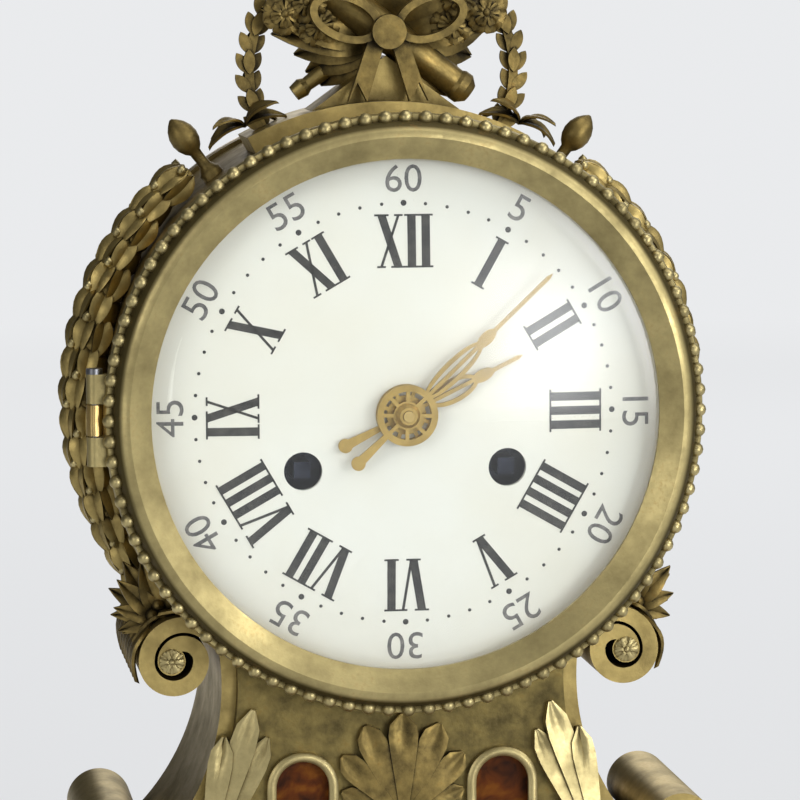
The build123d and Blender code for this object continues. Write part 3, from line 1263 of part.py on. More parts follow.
def minute_hand():
    sketch = Rot(0, 0, MINUTE_HAND_ANGLE) * pierced(MINUTE_HAND_LENGTH, MINUTE_OVAL, CANNON_PIPE)
    return slab(sketch, MINUTE_HAND_Y, MINUTE_HAND_Y + HAND_THICKNESS)


def hour_hand():
    sketch = Rot(0, 0, HOUR_HAND_ANGLE) * pierced(HOUR_HAND_LENGTH, HOUR_OVAL, HOUR_PIPE)
    return slab(sketch, HOUR_HAND_Y, HOUR_HAND_Y + HAND_THICKNESS)


def hand_nut():
    bore = CENTRE_ARBOR + RUNNING_FIT
    back = MINUTE_HAND_Y - PIPE_PROUD
    front, middle = back - HAND_NUT_HEIGHT, back - HAND_NUT_HEIGHT / 3
    slim, wide = HAND_NUT_RADII
    return turned(profile((bore, front), (slim, front), (wide, middle), (wide, back), (bore, back)))


def cannon_pinion():
    """A pinion with a long pipe that carries the minute hand, tight on the centre arbor."""
    sketch = pinion_teeth(CANNON_LEAVES, CANNON_MODULE, bearing(CENTRE, MINUTE), gap=False)
    back = CANNON_Y + WHEEL_THICKNESS + 2 * PIPE_PROUD
    piece = slab(sketch, CANNON_Y - PIPE_PROUD, back)
    piece += rod(CANNON_PIPE, MINUTE_HAND_Y - PIPE_PROUD, FRONT_PLATE_Y - RATCHET_GAP)
    return piece - rod(CENTRE_ARBOR + RUNNING_FIT, NUT_END, FRONT_PLATE_Y)


def hour_wheel():
    sketch = wheel_teeth(HOUR_WHEEL, HOUR_MODULE, bearing(CENTRE, MINUTE), gap=True)
    sketch -= crossings(HOUR_WHEEL * HOUR_MODULE / 2 - COLLET_RADIUS, BARREL_BOSS)
    piece = slab(sketch, HOUR_Y, HOUR_Y + WHEEL_THICKNESS)
    piece += rod(HOUR_PIPE, HOUR_HAND_Y - PIPE_PROUD, HOUR_Y + WHEEL_THICKNESS + 2 * PIPE_PROUD)
    return piece - rod(CANNON_PIPE + PIPE_PLAY, MINUTE_HAND_Y, CANNON_Y)


def minute_wheel():
    sketch = wheel_teeth(MINUTE_WHEEL, CANNON_MODULE, bearing(MINUTE, CENTRE), gap=True)
    piece = slab(sketch, CANNON_Y, CANNON_Y + WHEEL_THICKNESS, MINUTE)
    leaves = pinion_teeth(MINUTE_LEAVES, HOUR_MODULE, bearing(MINUTE, CENTRE), gap=False)
    piece += slab(leaves, HOUR_Y - 2 * PIPE_PROUD, CANNON_Y, MINUTE)
    return piece - rod(STUD_RADIUS + RUNNING_FIT, HOUR_Y - STUD_END, FRONT_PLATE_Y, MINUTE)


# Going train

def second_wheel():
    return arbor_set(SECOND, (SECOND_WHEEL, SECOND_MODULE), SECOND_Y, CENTRE,
                     (GREAT_PINION, GREAT_MODULE), GREAT_Y, GOING)


def centre_wheel():
    """The centre arbor runs out through the front plate and carries the hands."""
    piece = rod(CENTRE_ARBOR, NUT_END, INNER_BACK - END_SHAKE)
    piece += rod(PIVOT_RADIUS, CENTRE_Y, BACK_PLATE_Y)
    piece += rod(COLLET_RADIUS, INNER_FRONT + END_SHAKE, INNER_FRONT + PLATE_THICKNESS)
    piece += crossed_wheel(CENTRE_WHEEL, CENTRE_MODULE, bearing(CENTRE, THIRD), CENTRE_Y, CENTRE)
    return piece + pinion(CENTRE_PINION, SECOND_MODULE, bearing(CENTRE, SECOND), SECOND_Y, CENTRE)


def third_wheel():
    return arbor_set(THIRD, (THIRD_WHEEL, THIRD_MODULE), THIRD_Y, ESCAPE,
                     (THIRD_PINION, CENTRE_MODULE), CENTRE_Y, CENTRE)


def escape_wheel():
    """A wheel of pointed teeth, all leaning one way."""
    root = ESCAPE_RADIUS - ESCAPE_TOOTH_DEPTH
    points = []
    for n in range(ESCAPE_TEETH):
        points.append(polar(ESCAPE_RADIUS, 360 * (n + 0.55) / ESCAPE_TEETH))
        points.append(polar(root, 360 * (n + 0.75) / ESCAPE_TEETH))
        points.append(polar(root, 360 * (n + 1) / ESCAPE_TEETH))
    sketch = outline(*points) - crossings(root - ESCAPE_RIM, ESCAPE_HUB, THIN_ARM_WIDTH)
    front, back = BACK_WHEEL_Y - ESCAPE_THICKNESS / 2, BACK_WHEEL_Y + ESCAPE_THICKNESS / 2
    piece = staff(ESCAPE, leaf_root(ESCAPE_PINION, THIRD_MODULE)) + slab(sketch, front, back, ESCAPE)
    piece += rod(ESCAPE_COLLET, front - ESCAPE_THICKNESS, back, ESCAPE)
    return piece + pinion(ESCAPE_PINION, THIRD_MODULE, bearing(ESCAPE, THIRD), THIRD_Y, ESCAPE)


def pallet_anchor():
    """Anchor over the escape wheel, its arbor, and the crutch with its fork behind the back plate."""
    tip = ESCAPE_RADIUS + PALLET_CLEARANCE
    yoke_width, yoke_height = ANCHOR_YOKE
    yoke_top = ANCHOR_HUB + yoke_height / 2
    arms = []
    for side in (-1, 1):
        toe = polar(tip, 90 + side * PALLET_ANGLE, (0, -ANCHOR_DISTANCE))
        heel = polar(tip + PALLET_WIDTH, 90 + side * PALLET_ANGLE, (0, -ANCHOR_DISTANCE))
        inner, outer = -side * yoke_height / 2, -side * yoke_width / 2
        arms.append(outline((inner, yoke_top), toe, heel, (outer, yoke_top)))
    yoke = Pos(0, yoke_top - yoke_height / 2) * Rectangle(yoke_width, yoke_height)
    sketch = Circle(ANCHOR_HUB) + yoke + arms[0] + arms[1]
    half = ANCHOR_THICKNESS / 2
    piece = slab(sketch, BACK_WHEEL_Y - half, BACK_WHEEL_Y + half, ANCHOR)
    piece += rod(ARBOR_RADIUS, INNER_FRONT + END_SHAKE, COCK_Y - END_SHAKE, ANCHOR)
    piece += rod(PIVOT_RADIUS, FRONT_PLATE_Y, COCK_Y + COCK_THICKNESS, ANCHOR)
    crutch_y = BACK_PLATE_Y + CRUTCH_GAP
    prong_width, prong_height = FORK_PRONG
    prong_x = ROD_RADIUS + FORK_PLAY + prong_width / 2
    arm = Circle(CRUTCH_BOSS) + Pos(0, -CRUTCH_LENGTH / 2) * Rectangle(CRUTCH_WIDTH, CRUTCH_LENGTH)
    arm += Pos(0, -CRUTCH_LENGTH) * Rectangle(2 * prong_x + prong_width, prong_height)
    piece += slab(arm, crutch_y, crutch_y + CRUTCH_THICKNESS, ANCHOR)
    prong = Pos(prong_x, -CRUTCH_LENGTH) * Rectangle(prong_width, prong_height)
    return piece + both_sides(slab(prong, crutch_y, PENDULUM_Y + FORK_REACH, ANCHOR))


def pendulum():
    """Suspension spring, rod and lens-shaped bob."""
    front, back = PENDULUM_Y - SPRING_HALF_WIDTH, PENDULUM_Y + SPRING_HALF_WIDTH
    rod_top = ROD_HOOK[1] / 2 - SPRING_LENGTH
    bob_z = -PENDULUM_LENGTH
    blade = Rectangle(2 * SPRING_HALF, SPRING_TOP + SPRING_LENGTH)
    spring = Pos(0, (SPRING_TOP - SPRING_LENGTH) / 2) * blade
    piece = slab(spring, front, back, ANCHOR)
    piece += slab(Pos(0, rod_top) * Rectangle(*ROD_HOOK), front, back, ANCHOR)
    length = rod_top - bob_z
    wire = Pos(0, PENDULUM_Y, DIAL_Z + ANCHOR[1] + rod_top - length / 2) * Cylinder(ROD_RADIUS, length)
    half = BOB_THICKNESS / 2
    lens_radius = (BOB_RADIUS ** 2 + half ** 2) / (2 * half)
    reach = degrees(asin(BOB_RADIUS / lens_radius))
    face = CenterArc((0, lens_radius - half), lens_radius, -90, reach)
    back = CenterArc((0, half - lens_radius), lens_radius, 90, -reach)
    lens = revolve(make_face([face, back, Line(face @ 0, back @ 0)]), Axis.Y)
    lens = Pos(0, PENDULUM_Y, DIAL_Z + ANCHOR[1] + bob_z) * lens
    return piece + wire + lens


# Strike train

def strike_second_wheel():
    """Second wheel of the strike, whose arbor carries the count wheel behind the back plate."""
    piece = arbor_set(STRIKE_SECOND, (STRIKE_WHEEL, STRIKE_MODULE), BACK_WHEEL_Y, PIN,
                      (GREAT_PINION, GREAT_MODULE), GREAT_Y, STRIKE)
    front = BACK_PLATE_Y + BARREL_BOSS_HEIGHT
    piece += rod(THROUGH_ARBOR, BACK_WHEEL_Y, front + 2 * WHEEL_THICKNESS, STRIKE_SECOND)
    rim = Circle(COUNT_WHEEL_RADIUS)
    turn = 0.0
    for hour in range(1, 13):
        rim -= Rot(0, 0, turn) * (Pos(COUNT_WHEEL_RADIUS, 0) * Rectangle(*COUNT_NOTCH))
        turn += 360 * (hour + 1) / STRIKES_IN_A_TURN
    rim -= crossings(COUNT_WHEEL_RADIUS - COUNT_WHEEL_RIM)
    return piece + slab(rim, front, front + WHEEL_THICKNESS, STRIKE_SECOND)


PIN_CIRCLE = PIN_WHEEL * PIN_MODULE / 2 - 2 * LIFTING_PIN_RADIUS


def pin_wheel():
    piece = arbor_set(PIN, (PIN_WHEEL, PIN_MODULE), PIN_Y, WARNING,
                      (PIN_PINION, STRIKE_MODULE), BACK_WHEEL_Y, STRIKE_SECOND)
    for n in range(LIFTING_PINS):
        at = polar(PIN_CIRCLE, 360 * n / LIFTING_PINS, PIN)
        piece += rod(LIFTING_PIN_RADIUS, PIN_Y, PIN_Y + LIFTING_PIN_LENGTH, at)
    return piece


def warning_wheel():
    return arbor_set(WARNING, (WARNING_WHEEL, WARNING_MODULE), WARNING_Y, FLY,
                     (WARNING_PINION, PIN_MODULE), PIN_Y, PIN)


def strike_fly():
    front, back = INNER_FRONT + FLY_GAP, PIN_Y - FLY_GAP
    piece = staff(FLY, leaf_root(FLY_PINION, WARNING_MODULE))
    piece += slab(Rectangle(*FLY_BLADE), front, back, FLY)
    piece += rod(FLY_HUB, front + FLY_HUB, back - FLY_HUB, FLY)
    return piece + pinion(FLY_PINION, WARNING_MODULE, bearing(FLY, WARNING), WARNING_Y, FLY)


def strike_hammer():
    """Hammer on its arbor: tail by the lifting pins, head beside the rim of the bell."""
    tail_width, tail_thickness = HAMMER_TAIL
    arm_width, arm_thickness = HAMMER_ARM
    arm_front, arm_back = HAMMER_Y - arm_thickness / 2, HAMMER_Y + arm_thickness / 2
    piece = staff(HAMMER) + rod(THROUGH_ARBOR, INNER_FRONT + END_SHAKE, arm_back, HAMMER)
    tail_end = (PIN[0] - PIN_CIRCLE - HAMMER_TAIL_GAP, PIN[1])
    reach = hypot(tail_end[0] - HAMMER[0], tail_end[1] - HAMMER[1])
    tail = Rot(0, 0, bearing(HAMMER, tail_end)) * (Pos(reach / 2, 0) * Rectangle(reach, tail_width))
    tail_back = PIN_Y + LIFTING_PIN_LENGTH
    piece += slab(tail + Circle(HAMMER_HUB), tail_back - tail_thickness, tail_back, HAMMER)
    head_inner = BELL_CENTRE[0] - BELL_RADIUS - HAMMER_GAP
    drop = HAMMER[1] - BELL_CENTRE[1]
    arm = Pos(0, -drop / 2) * Rectangle(arm_width, drop) + Circle(HAMMER_HUB)
    piece += slab(arm, arm_front, arm_back, HAMMER)
    head = Rot(0, 90, 0) * Cylinder(HEAD_RADIUS, HEAD_LENGTH)
    return piece + Pos(head_inner - HEAD_LENGTH / 2, HAMMER_Y, DIAL_Z + BELL_CENTRE[1]) * head


NODES = {
    "toupie_feet": toupie_feet(),
    "plinth_frame": plinth_frame(),
    "marble_plinth": marble_plinth(),
    "waist_base": waist_base(),
    "waist_casting": waist_casting(),
    "waist_panels": waist_panels(),
    "waist_cartouche": waist_cartouche(),
    "drum_cradle": drum_cradle(),
    "side_scroll_right": side_scroll_right(),
    "side_scroll_left": mirror(side_scroll_right(), about=Plane.YZ),
    "drum_shell": drum_shell(),
    "garland_right": garland_right(),
    "garland_left": mirror(garland_right(), about=Plane.YZ),
    "garland_pegs": garland_pegs(),
    "finial_stand": finial_stand(),
    "finial_quiver": finial_quiver(),
    "finial_torch": finial_torch(),
    "finial_ribbon": finial_ribbon(),
    "finial_branches": finial_branches(),
    "case_bolts": case_bolts(),
    "hinge_pins": hinge_pins(),
    "dial_carrier": dial_carrier(),
    "dial_enamel": dial_enamel(),
    "front_bezel": front_bezel(),
    "bezel_glass": bezel_glass(),
    "glass_retainer": glass_retainer(),
    "rear_ring": rear_ring(),
    "rear_door": rear_door(),
    "movement_straps": movement_straps(),
    "strap_screws": strap_screws(),
    "front_plate": front_plate(),
    "back_plate": back_plate(),
    "plate_pillars": plate_pillars(),
    "movement_nuts": movement_nuts(),
    "anchor_cock": anchor_cock(),
    "suspension_block": suspension_block(),
    "winding_clicks": winding_clicks(),
    "bell": bell(),
    "bell_stand": bell_stand(),
    "minute_hand": minute_hand(),
    "hour_hand": hour_hand(),
    "hand_nut": hand_nut(),
    "cannon_pinion": cannon_pinion(),
    "hour_wheel": hour_wheel(),
    "minute_wheel": minute_wheel(),
    "going_barrel": barrel(GOING, SECOND),
    "going_arbor": winding_arbor(GOING),
    "second_wheel": second_wheel(),
    "centre_wheel": centre_wheel(),
    "third_wheel": third_wheel(),
    "escape_wheel": escape_wheel(),
    "pallet_anchor": pallet_anchor(),
    "pendulum": pendulum(),
    "strike_barrel": barrel(STRIKE, STRIKE_SECOND),
    "strike_arbor": winding_arbor(STRIKE),
    "strike_second_wheel": strike_second_wheel(),
    "pin_wheel": pin_wheel(),
    "warning_wheel": warning_wheel(),
    "strike_fly": strike_fly(),
    "strike_hammer": strike_hammer(),
}

os.makedirs("parts", exist_ok=True)
for name, shape in NODES.items():
    export_step(shape, f"parts/{name}.step")
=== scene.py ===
from math import asin, cos, hypot, pi, radians, sin, sqrt

import bmesh
import bpy
from mathutils import Matrix, Vector


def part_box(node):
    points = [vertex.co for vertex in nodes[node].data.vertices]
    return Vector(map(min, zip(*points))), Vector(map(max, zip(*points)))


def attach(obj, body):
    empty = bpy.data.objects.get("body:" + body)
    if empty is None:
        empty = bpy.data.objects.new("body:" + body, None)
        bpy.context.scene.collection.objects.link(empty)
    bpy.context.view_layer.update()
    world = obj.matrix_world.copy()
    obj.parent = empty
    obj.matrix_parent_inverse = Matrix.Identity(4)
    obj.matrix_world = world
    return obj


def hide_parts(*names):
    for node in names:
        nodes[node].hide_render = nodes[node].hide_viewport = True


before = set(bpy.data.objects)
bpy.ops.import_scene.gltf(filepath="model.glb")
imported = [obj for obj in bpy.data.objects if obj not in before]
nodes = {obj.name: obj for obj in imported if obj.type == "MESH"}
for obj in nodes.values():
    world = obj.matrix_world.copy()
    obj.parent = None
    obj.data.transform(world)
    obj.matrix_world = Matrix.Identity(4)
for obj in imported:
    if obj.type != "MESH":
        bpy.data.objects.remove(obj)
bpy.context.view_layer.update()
bpy.ops.object.select_all(action="DESELECT")


# Feet, plinth frame and foot of the waist: fire-gilt bronze castings, burnished on the high
# parts and left dull and brown in the hollows, where their finish also paints shade. Two long
# bolts hold the frame, the marble and the foot together.

class Shade:
    """A socket of a material's nodes. Sums and products of these add their Math nodes."""

    def __init__(self, tree, socket=None):
        self.tree = tree
        self.socket = socket

    def add(self, kind, settings=None, inputs=None, output=0):
        """Adds a node: first its settings, then the values or links of its sockets."""
        node = self.tree.nodes.new(kind)
        for name, value in (settings or {}).items():
            if name == "stops":
                while len(node.color_ramp.elements) < len(value):
                    node.color_ramp.elements.new(0.5)
                for element, (place, colour) in zip(node.color_ramp.elements, value):
                    element.position, element.color = place, (*colour, 1.0)
            else:
                setattr(node, name, value)
        for name, value in (inputs or {}).items():
            if isinstance(value, Shade):
                self.tree.links.new(value.socket, node.inputs[name])
            else:
                node.inputs[name].default_value = value
        return Shade(self.tree, node.outputs[output])

    def beside(self, output):
        """Another output of the same node."""
        return Shade(self.tree, self.socket.node.outputs[output])

    def math(self, operation, *others):
        """A Math node whose first value is this one."""
        return self.add("ShaderNodeMath", {"operation": operation}, dict(enumerate((self, *others))))

    def __add__(self, other):
        return self.math("ADD", other)

    def __sub__(self, other):
        return self.math("SUBTRACT", other)

    def __rsub__(self, other):
        return self.add("ShaderNodeMath", {"operation": "SUBTRACT"}, {0: other, 1: self})

    def __mul__(self, other):
        return self.math("MULTIPLY", other)

    def __pow__(self, other):
        return self.math("POWER", other)

    __radd__ = __add__
    __rmul__ = __mul__

    def spread(self, low, high):
        """The value stretched so that low becomes 0 and high becomes 1."""
        return self.add("ShaderNodeMapRange", None, {0: self, 1: low, 2: high})

    def between(self, first, second):
        """A colour between two others, by this value."""
        return self.add("ShaderNodeMix", {"data_type": "RGBA"}, {0: self, 6: first, 7: second}, 2)

    def noise(self, scale, detail, **more):
        """Noise over this place, its scale in cells to the metre."""
        return self.add("ShaderNodeTexNoise", None,
                        {"Vector": self, "Scale": scale, "Detail": detail, **more})

    def relief(self, strength, distance):
        """A normal that takes this value as the height of the surface."""
        return self.add("ShaderNodeBump", None,
                        {"Strength": strength, "Distance": distance, "Height": self})


def new_finish(name):
    """A material, the place of a point on its piece, and the one shader that the nodes feed."""
    material = bpy.data.materials.new(name)
    material.use_nodes = True
    place = Shade(material.node_tree).add("ShaderNodeTexCoord", output="Object")
    return material, place, material.node_tree.nodes["Principled BSDF"]


def feed(shader, **values):
    """Sets or links sockets of a node, named with underscores for spaces."""
    for name, value in values.items():
        socket = shader.inputs[name.replace("_", " ")]
        if isinstance(value, Shade):
            value.tree.links.new(value.socket, socket)
        else:
            socket.default_value = value


def from_axis(place, height):
    """The distance of a point from a level axis along Y at a height."""
    level = place.add("ShaderNodeMapping", None, {"Vector": place, "Location": (0.0, 0.0, -height)})
    x = level.add("ShaderNodeSeparateXYZ", None, {0: level})
    z = x.beside(2)
    return (x * x + z * z) ** 0.5


def gilt_finish(name, bright, patina, hollow=0.004, dull=0.0, patch=140.0, shade_ring=None):
    """Gilding over bronze: burnished and bright on open parts, brown patina with painted shade in the
    hollows, brown in patches, finely pitted.

    A ring of painted shade is given by its radius, its width and the height of its axis.
    """
    material, place, shader = new_finish(name)
    cloud = place.noise(patch, 5.0, Roughness=0.62)
    grain = place.noise(1500.0, 3.0)
    # Ambient occlusion darkens the colour and dulls the metal in the hollows: brown patina together with
    # painted shade.
    clear = place.add("ShaderNodeAmbientOcclusion", {"only_local": True, "samples": 8},
                      {"Distance": hollow}, "AO")
    rubbed_and_unshaded = (clear * 1.1 + cloud * 1.5 - dull).spread(1.15, 2.05)
    if shade_ring:
        # A dark ring of painted shade along a groove.
        radius, width, height = shade_ring
        gap = (from_axis(place, height) - radius).math("ABSOLUTE")
        rubbed_and_unshaded = rubbed_and_unshaded * gap.spread(width * 0.4, width)
    worn = (cloud * 0.6 + grain * 0.4).spread(0.56, 0.70)
    colour = rubbed_and_unshaded.between((*patina, 1.0), (*bright, 1.0))
    ruddy = (worn * 0.35).between(colour, (bright[0] * 0.62, bright[1] * 0.42, bright[2] * 0.25, 1.0))
    feed(shader, Base_Color=ruddy, Metallic=0.70 + 0.30 * rubbed_and_unshaded,
         Roughness=0.52 - 0.22 * rubbed_and_unshaded + 0.16 * grain,
         Normal=(cloud * 0.7 + grain * 0.5).relief(0.35, 0.0002))
    return material


def dress(names, material):
    """Gives a finish to nodes of the frame."""
    for name in names.split():
        nodes[name].data.materials.clear()
        nodes[name].data.materials.append(material)


old_gold = gilt_finish("old_gold", (0.50, 0.38, 0.14), (0.060, 0.040, 0.009))
dress("toupie_feet plinth_frame waist_base", old_gold)


# Plinth block: dark red marble with pale veins, sawn, rounded at its corners and polished.
# It lies in the gilt frame and carries the foot of the waist; the bolts pass through it.

def marble_finish(name):
    """Polished marble in clouds of red, with pale veins along the edges of drifting cells."""
    material, place, shader = new_finish(name)
    swirl = place.noise(35.0, 6.0, Distortion=1.6)
    drift = place.add("ShaderNodeVectorMath", {"operation": "SCALE"}, {0: swirl, "Scale": 0.03})
    shifted = place.add("ShaderNodeVectorMath", {"operation": "ADD"}, {0: place, 1: drift})
    cells = place.add("ShaderNodeTexVoronoi", {"feature": "DISTANCE_TO_EDGE"},
                      {"Vector": shifted, "Scale": 60.0})
    speck = place.noise(420.0, 4.0)
    body = place.add("ShaderNodeValToRGB", {"stops": (
        (0.30, (0.030, 0.006, 0.005)), (0.48, (0.095, 0.016, 0.010)), (0.60, (0.17, 0.036, 0.022)),
        (0.72, (0.060, 0.010, 0.008)))}, {0: swirl})
    vein = (1 - cells.spread(0.0, 0.035)) * swirl.spread(0.44, 0.62)
    veined = (vein * 0.75).between(body, (0.55, 0.42, 0.36, 1.0))
    dotted = (speck.spread(0.62, 0.75) * 0.3).between(veined, (0.26, 0.12, 0.09, 1.0))
    feed(shader, Base_Color=dotted, Roughness=0.16 + 0.12 * speck, Coat_Weight=0.35,
         Coat_Roughness=0.06, Normal=speck.relief(0.06, 0.0002))
    return material


dress("marble_plinth", marble_finish("red_marble"))


# Waist, its scrolls and the cradle under the drum: gilt castings, bolted together from inside.
# The arched panels in the waist are red lacquer on copper sheet, held from behind.

def lacquer_finish(name):
    """Old lacquer: red brown in clouds, gone dull with dust."""
    material, place, shader = new_finish(name)
    cloud = place.noise(210.0, 4.0, Distortion=0.8)
    dust = place.noise(1800.0, 2.0)
    colour = place.add("ShaderNodeValToRGB", {"stops": (
        (0.30, (0.030, 0.008, 0.002)), (0.50, (0.13, 0.032, 0.003)), (0.66, (0.24, 0.078, 0.006)),
        (0.80, (0.32, 0.13, 0.012)))}, {0: cloud})
    feed(shader, Base_Color=colour, Roughness=0.34 + 0.20 * dust, Specular_IOR_Level=0.12)
    return material


matt_gold = gilt_finish("matt_gold", (0.30, 0.23, 0.080), (0.035, 0.026, 0.008), 0.006, 0.22, 230.0)
dress("waist_casting", matt_gold)
dress("drum_cradle side_scroll_right side_scroll_left", old_gold)
dress("waist_panels", lacquer_finish("red_lacquer"))


# Mouldings round the arched panels: half-round strips of gilt bronze, bent to the arch and
# soldered to the front of the waist, where they cover the edges of the openings.

MOULDING_WIDTH = 0.0017
MOULDING_DEPTH = 0.0013
PANEL_LEDGE = 0.001
PANEL_HALF = 0.0058
ARCH_STEPS = 48
waist_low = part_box("waist_casting")[0]
WAIST_FRONT = waist_low[1]
panel_low, panel_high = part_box("waist_panels")
PANEL_CENTRE = panel_high[0] - PANEL_HALF - PANEL_LEDGE
PANEL_SPRING = panel_high[2] - PANEL_HALF - PANEL_LEDGE
PANEL_FOOT = panel_low[2] + PANEL_LEDGE
FACING = Matrix.Rotation(pi / 2, 4, "X")


def begin(shape, **sizes):
    """Adds a primitive and opens its mesh for editing."""
    bpy.ops.object.select_all(action="DESELECT")
    getattr(bpy.ops.mesh, f"primitive_{shape}_add")(**sizes)
    bpy.ops.object.mode_set(mode="EDIT")


def pick(test):
    """Selects the vertices of the open mesh whose place passes a test."""
    mesh = bmesh.from_edit_mesh(bpy.context.object.data)
    for vertex in mesh.verts:
        vertex.select = bool(test(vertex.co))
    mesh.select_flush_mode()
    bmesh.update_edit_mesh(bpy.context.object.data)


def close(name):
    """Closes the mesh with its faces turned outwards and its place kept in the mesh."""
    bpy.ops.mesh.select_all(action="SELECT")
    bpy.ops.mesh.normals_make_consistent(inside=False)
    bpy.ops.object.mode_set(mode="OBJECT")
    bpy.ops.object.transform_apply(location=True, rotation=True, scale=True)
    bpy.context.object.name = bpy.context.object.data.name = name
    return bpy.context.object


def joined(pieces, name):
    """Joins pieces into the first of them, under a new name."""
    bpy.ops.object.select_all(action="DESELECT")
    for piece in pieces:
        piece.select_set(True)
    bpy.context.view_layer.objects.active = pieces[0]
    bpy.ops.object.join()
    pieces[0].name = pieces[0].data.name = name
    return pieces[0]


def plant(master, places, name):
    """Copies one finished ornament to many places and joins the copies into one piece."""
    copies = []
    for place in places:
        copy = master.copy()
        copy.data = master.data.copy()
        copy.data.transform(place)
        bpy.context.collection.objects.link(copy)
        copies.append(copy)
    bpy.data.objects.remove(master)
    return joined(copies, name)


def add_piece(piece, material, body, smooth=None):
    """Gives a new piece its finish and lets it ride on a body of the frame."""
    piece.data.materials.clear()
    piece.data.materials.append(material)
    if smooth is not None:
        bpy.ops.object.select_all(action="DESELECT")
        piece.select_set(True)
        bpy.context.view_layer.objects.active = piece
        bpy.ops.object.shade_smooth_by_angle(angle=radians(smooth))
    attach(piece, body)


def panel_moulding():
    """An arched ring with a rounded front, made from a disc whose lower half is drawn down."""
    reach = PANEL_HALF + MOULDING_WIDTH / 2
    begin("circle", vertices=ARCH_STEPS, radius=reach, fill_type="NGON")
    pick(lambda co: co.y < -1e-6)
    bpy.ops.transform.resize(value=(1 / cos(2 * pi / ARCH_STEPS), 0.0, 1.0), center_override=(0.0, 0.0, 0.0))
    bpy.ops.transform.translate(value=(0.0, PANEL_FOOT - PANEL_SPRING - MOULDING_WIDTH / 2, 0.0))
    bpy.ops.mesh.select_all(action="SELECT")
    bpy.ops.mesh.inset(thickness=MOULDING_WIDTH)
    bpy.ops.mesh.delete(type="FACE")
    bpy.ops.mesh.select_all(action="SELECT")
    bpy.ops.mesh.extrude_region_move(TRANSFORM_OT_translate={"value": (0.0, 0.0, MOULDING_DEPTH)})
    bpy.ops.mesh.inset(thickness=MOULDING_WIDTH * 0.3)
    bpy.ops.transform.translate(value=(0.0, 0.0, MOULDING_WIDTH * 0.25))
    return close("moulding")


pale_gold = gilt_finish("pale_gold", (0.60, 0.50, 0.24), (0.10, 0.070, 0.018), 0.005)
mouldings = plant(panel_moulding(), [
    Matrix.Translation((side * PANEL_CENTRE, WAIST_FRONT, PANEL_SPRING)) @ FACING for side in (-1, 1)],
    "panel_mouldings")
add_piece(mouldings, pale_gold, "case", 50)


# Shell on the front of the waist: seven fluted leaves fanned from a knop, with two smaller
# knops below. It is cast bronze in one piece, chased, gilt and pinned on from behind.

SHELL_DEPTH = 0.0026
SHELL_LEAVES = 7
SHELL_SPREAD = radians(66.0)
SHELL_SHORTER = 0.36
SHELL_PROUD = 0.0002
SHELL_KNOP = 0.0034
SHELL_KNOPS = ((0.0, 1.0), (0.0046, 0.62), (0.0078, 0.42))
FLUTE_ROWS = 10
FLUTE_ROOT, FLUTE_SHOULDER, FLUTE_TIP = 0.16, 0.72, 0.2816
shell_low, shell_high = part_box("waist_cartouche")
SHELL_FOOT = Vector((0.0, WAIST_FRONT, shell_low[2] + SHELL_KNOP))
SHELL_LENGTH = shell_high[2] - SHELL_FOOT.z
FRONT = Vector((0.0, -1.0, 0.0))


def flute(length, width, depth):
    """A hollowed leaf along +Y with a raised edge, broad and round at its tip."""
    begin("grid", x_subdivisions=8, y_subdivisions=FLUTE_ROWS, size=1.0)
    bpy.ops.transform.resize(value=(width, length, 1.0))
    bpy.ops.transform.translate(value=(0.0, length / 2, 0.0))
    for row in range(FLUTE_ROWS + 1):
        share = row / FLUTE_ROWS
        y = share * length
        pick(lambda co: abs(co.y - y) < length / 1000)
        past = max(share - FLUTE_SHOULDER, 0.0) / FLUTE_TIP
        swell = (FLUTE_ROOT + (1 - FLUTE_ROOT) * share) * sqrt(max(1 - past ** 2, 0.02))
        bpy.ops.transform.resize(value=(swell, 1.0, 1.0), center_override=(0.0, y, 0.0))
        bpy.ops.transform.translate(value=(0.0, 0.0, depth * (0.45 + 0.55 * sin(pi * share ** 0.7))))
    pick(lambda co: hypot(co.x, 0.3 * (co.y - length * 0.9)) < width * 0.14)
    bpy.ops.transform.translate(value=(0.0, 0.0, -0.3 * depth))
    bpy.ops.mesh.select_all(action="SELECT")
    bpy.ops.mesh.extrude_region_move(TRANSFORM_OT_translate={"value": (0.0, 0.0, -depth)})
    return close("flute")


def turned_out(spot, along, out):
    """A place whose Y axis runs along one direction and whose Z axis faces out."""
    y = along.normalized()
    x = y.cross(out).normalized()
    return Matrix.Translation(spot) @ Matrix((x, y, x.cross(y))).transposed().to_4x4()


def knop(radius, height, rings=10, segments=20):
    """A round button with a flat back, its front raised along +Z."""
    begin("uv_sphere", segments=segments, ring_count=rings, radius=radius)
    pick(lambda co: co.z < 1e-6)
    bpy.ops.transform.resize(value=(1.0, 1.0, 0.0), center_override=(0.0, 0.0, 0.0))
    bpy.ops.mesh.select_all(action="SELECT")
    bpy.ops.transform.resize(value=(1.0, 1.0, height / radius), center_override=(0.0, 0.0, 0.0))
    bpy.ops.mesh.remove_doubles(threshold=radius / 1000)
    return close("knop")


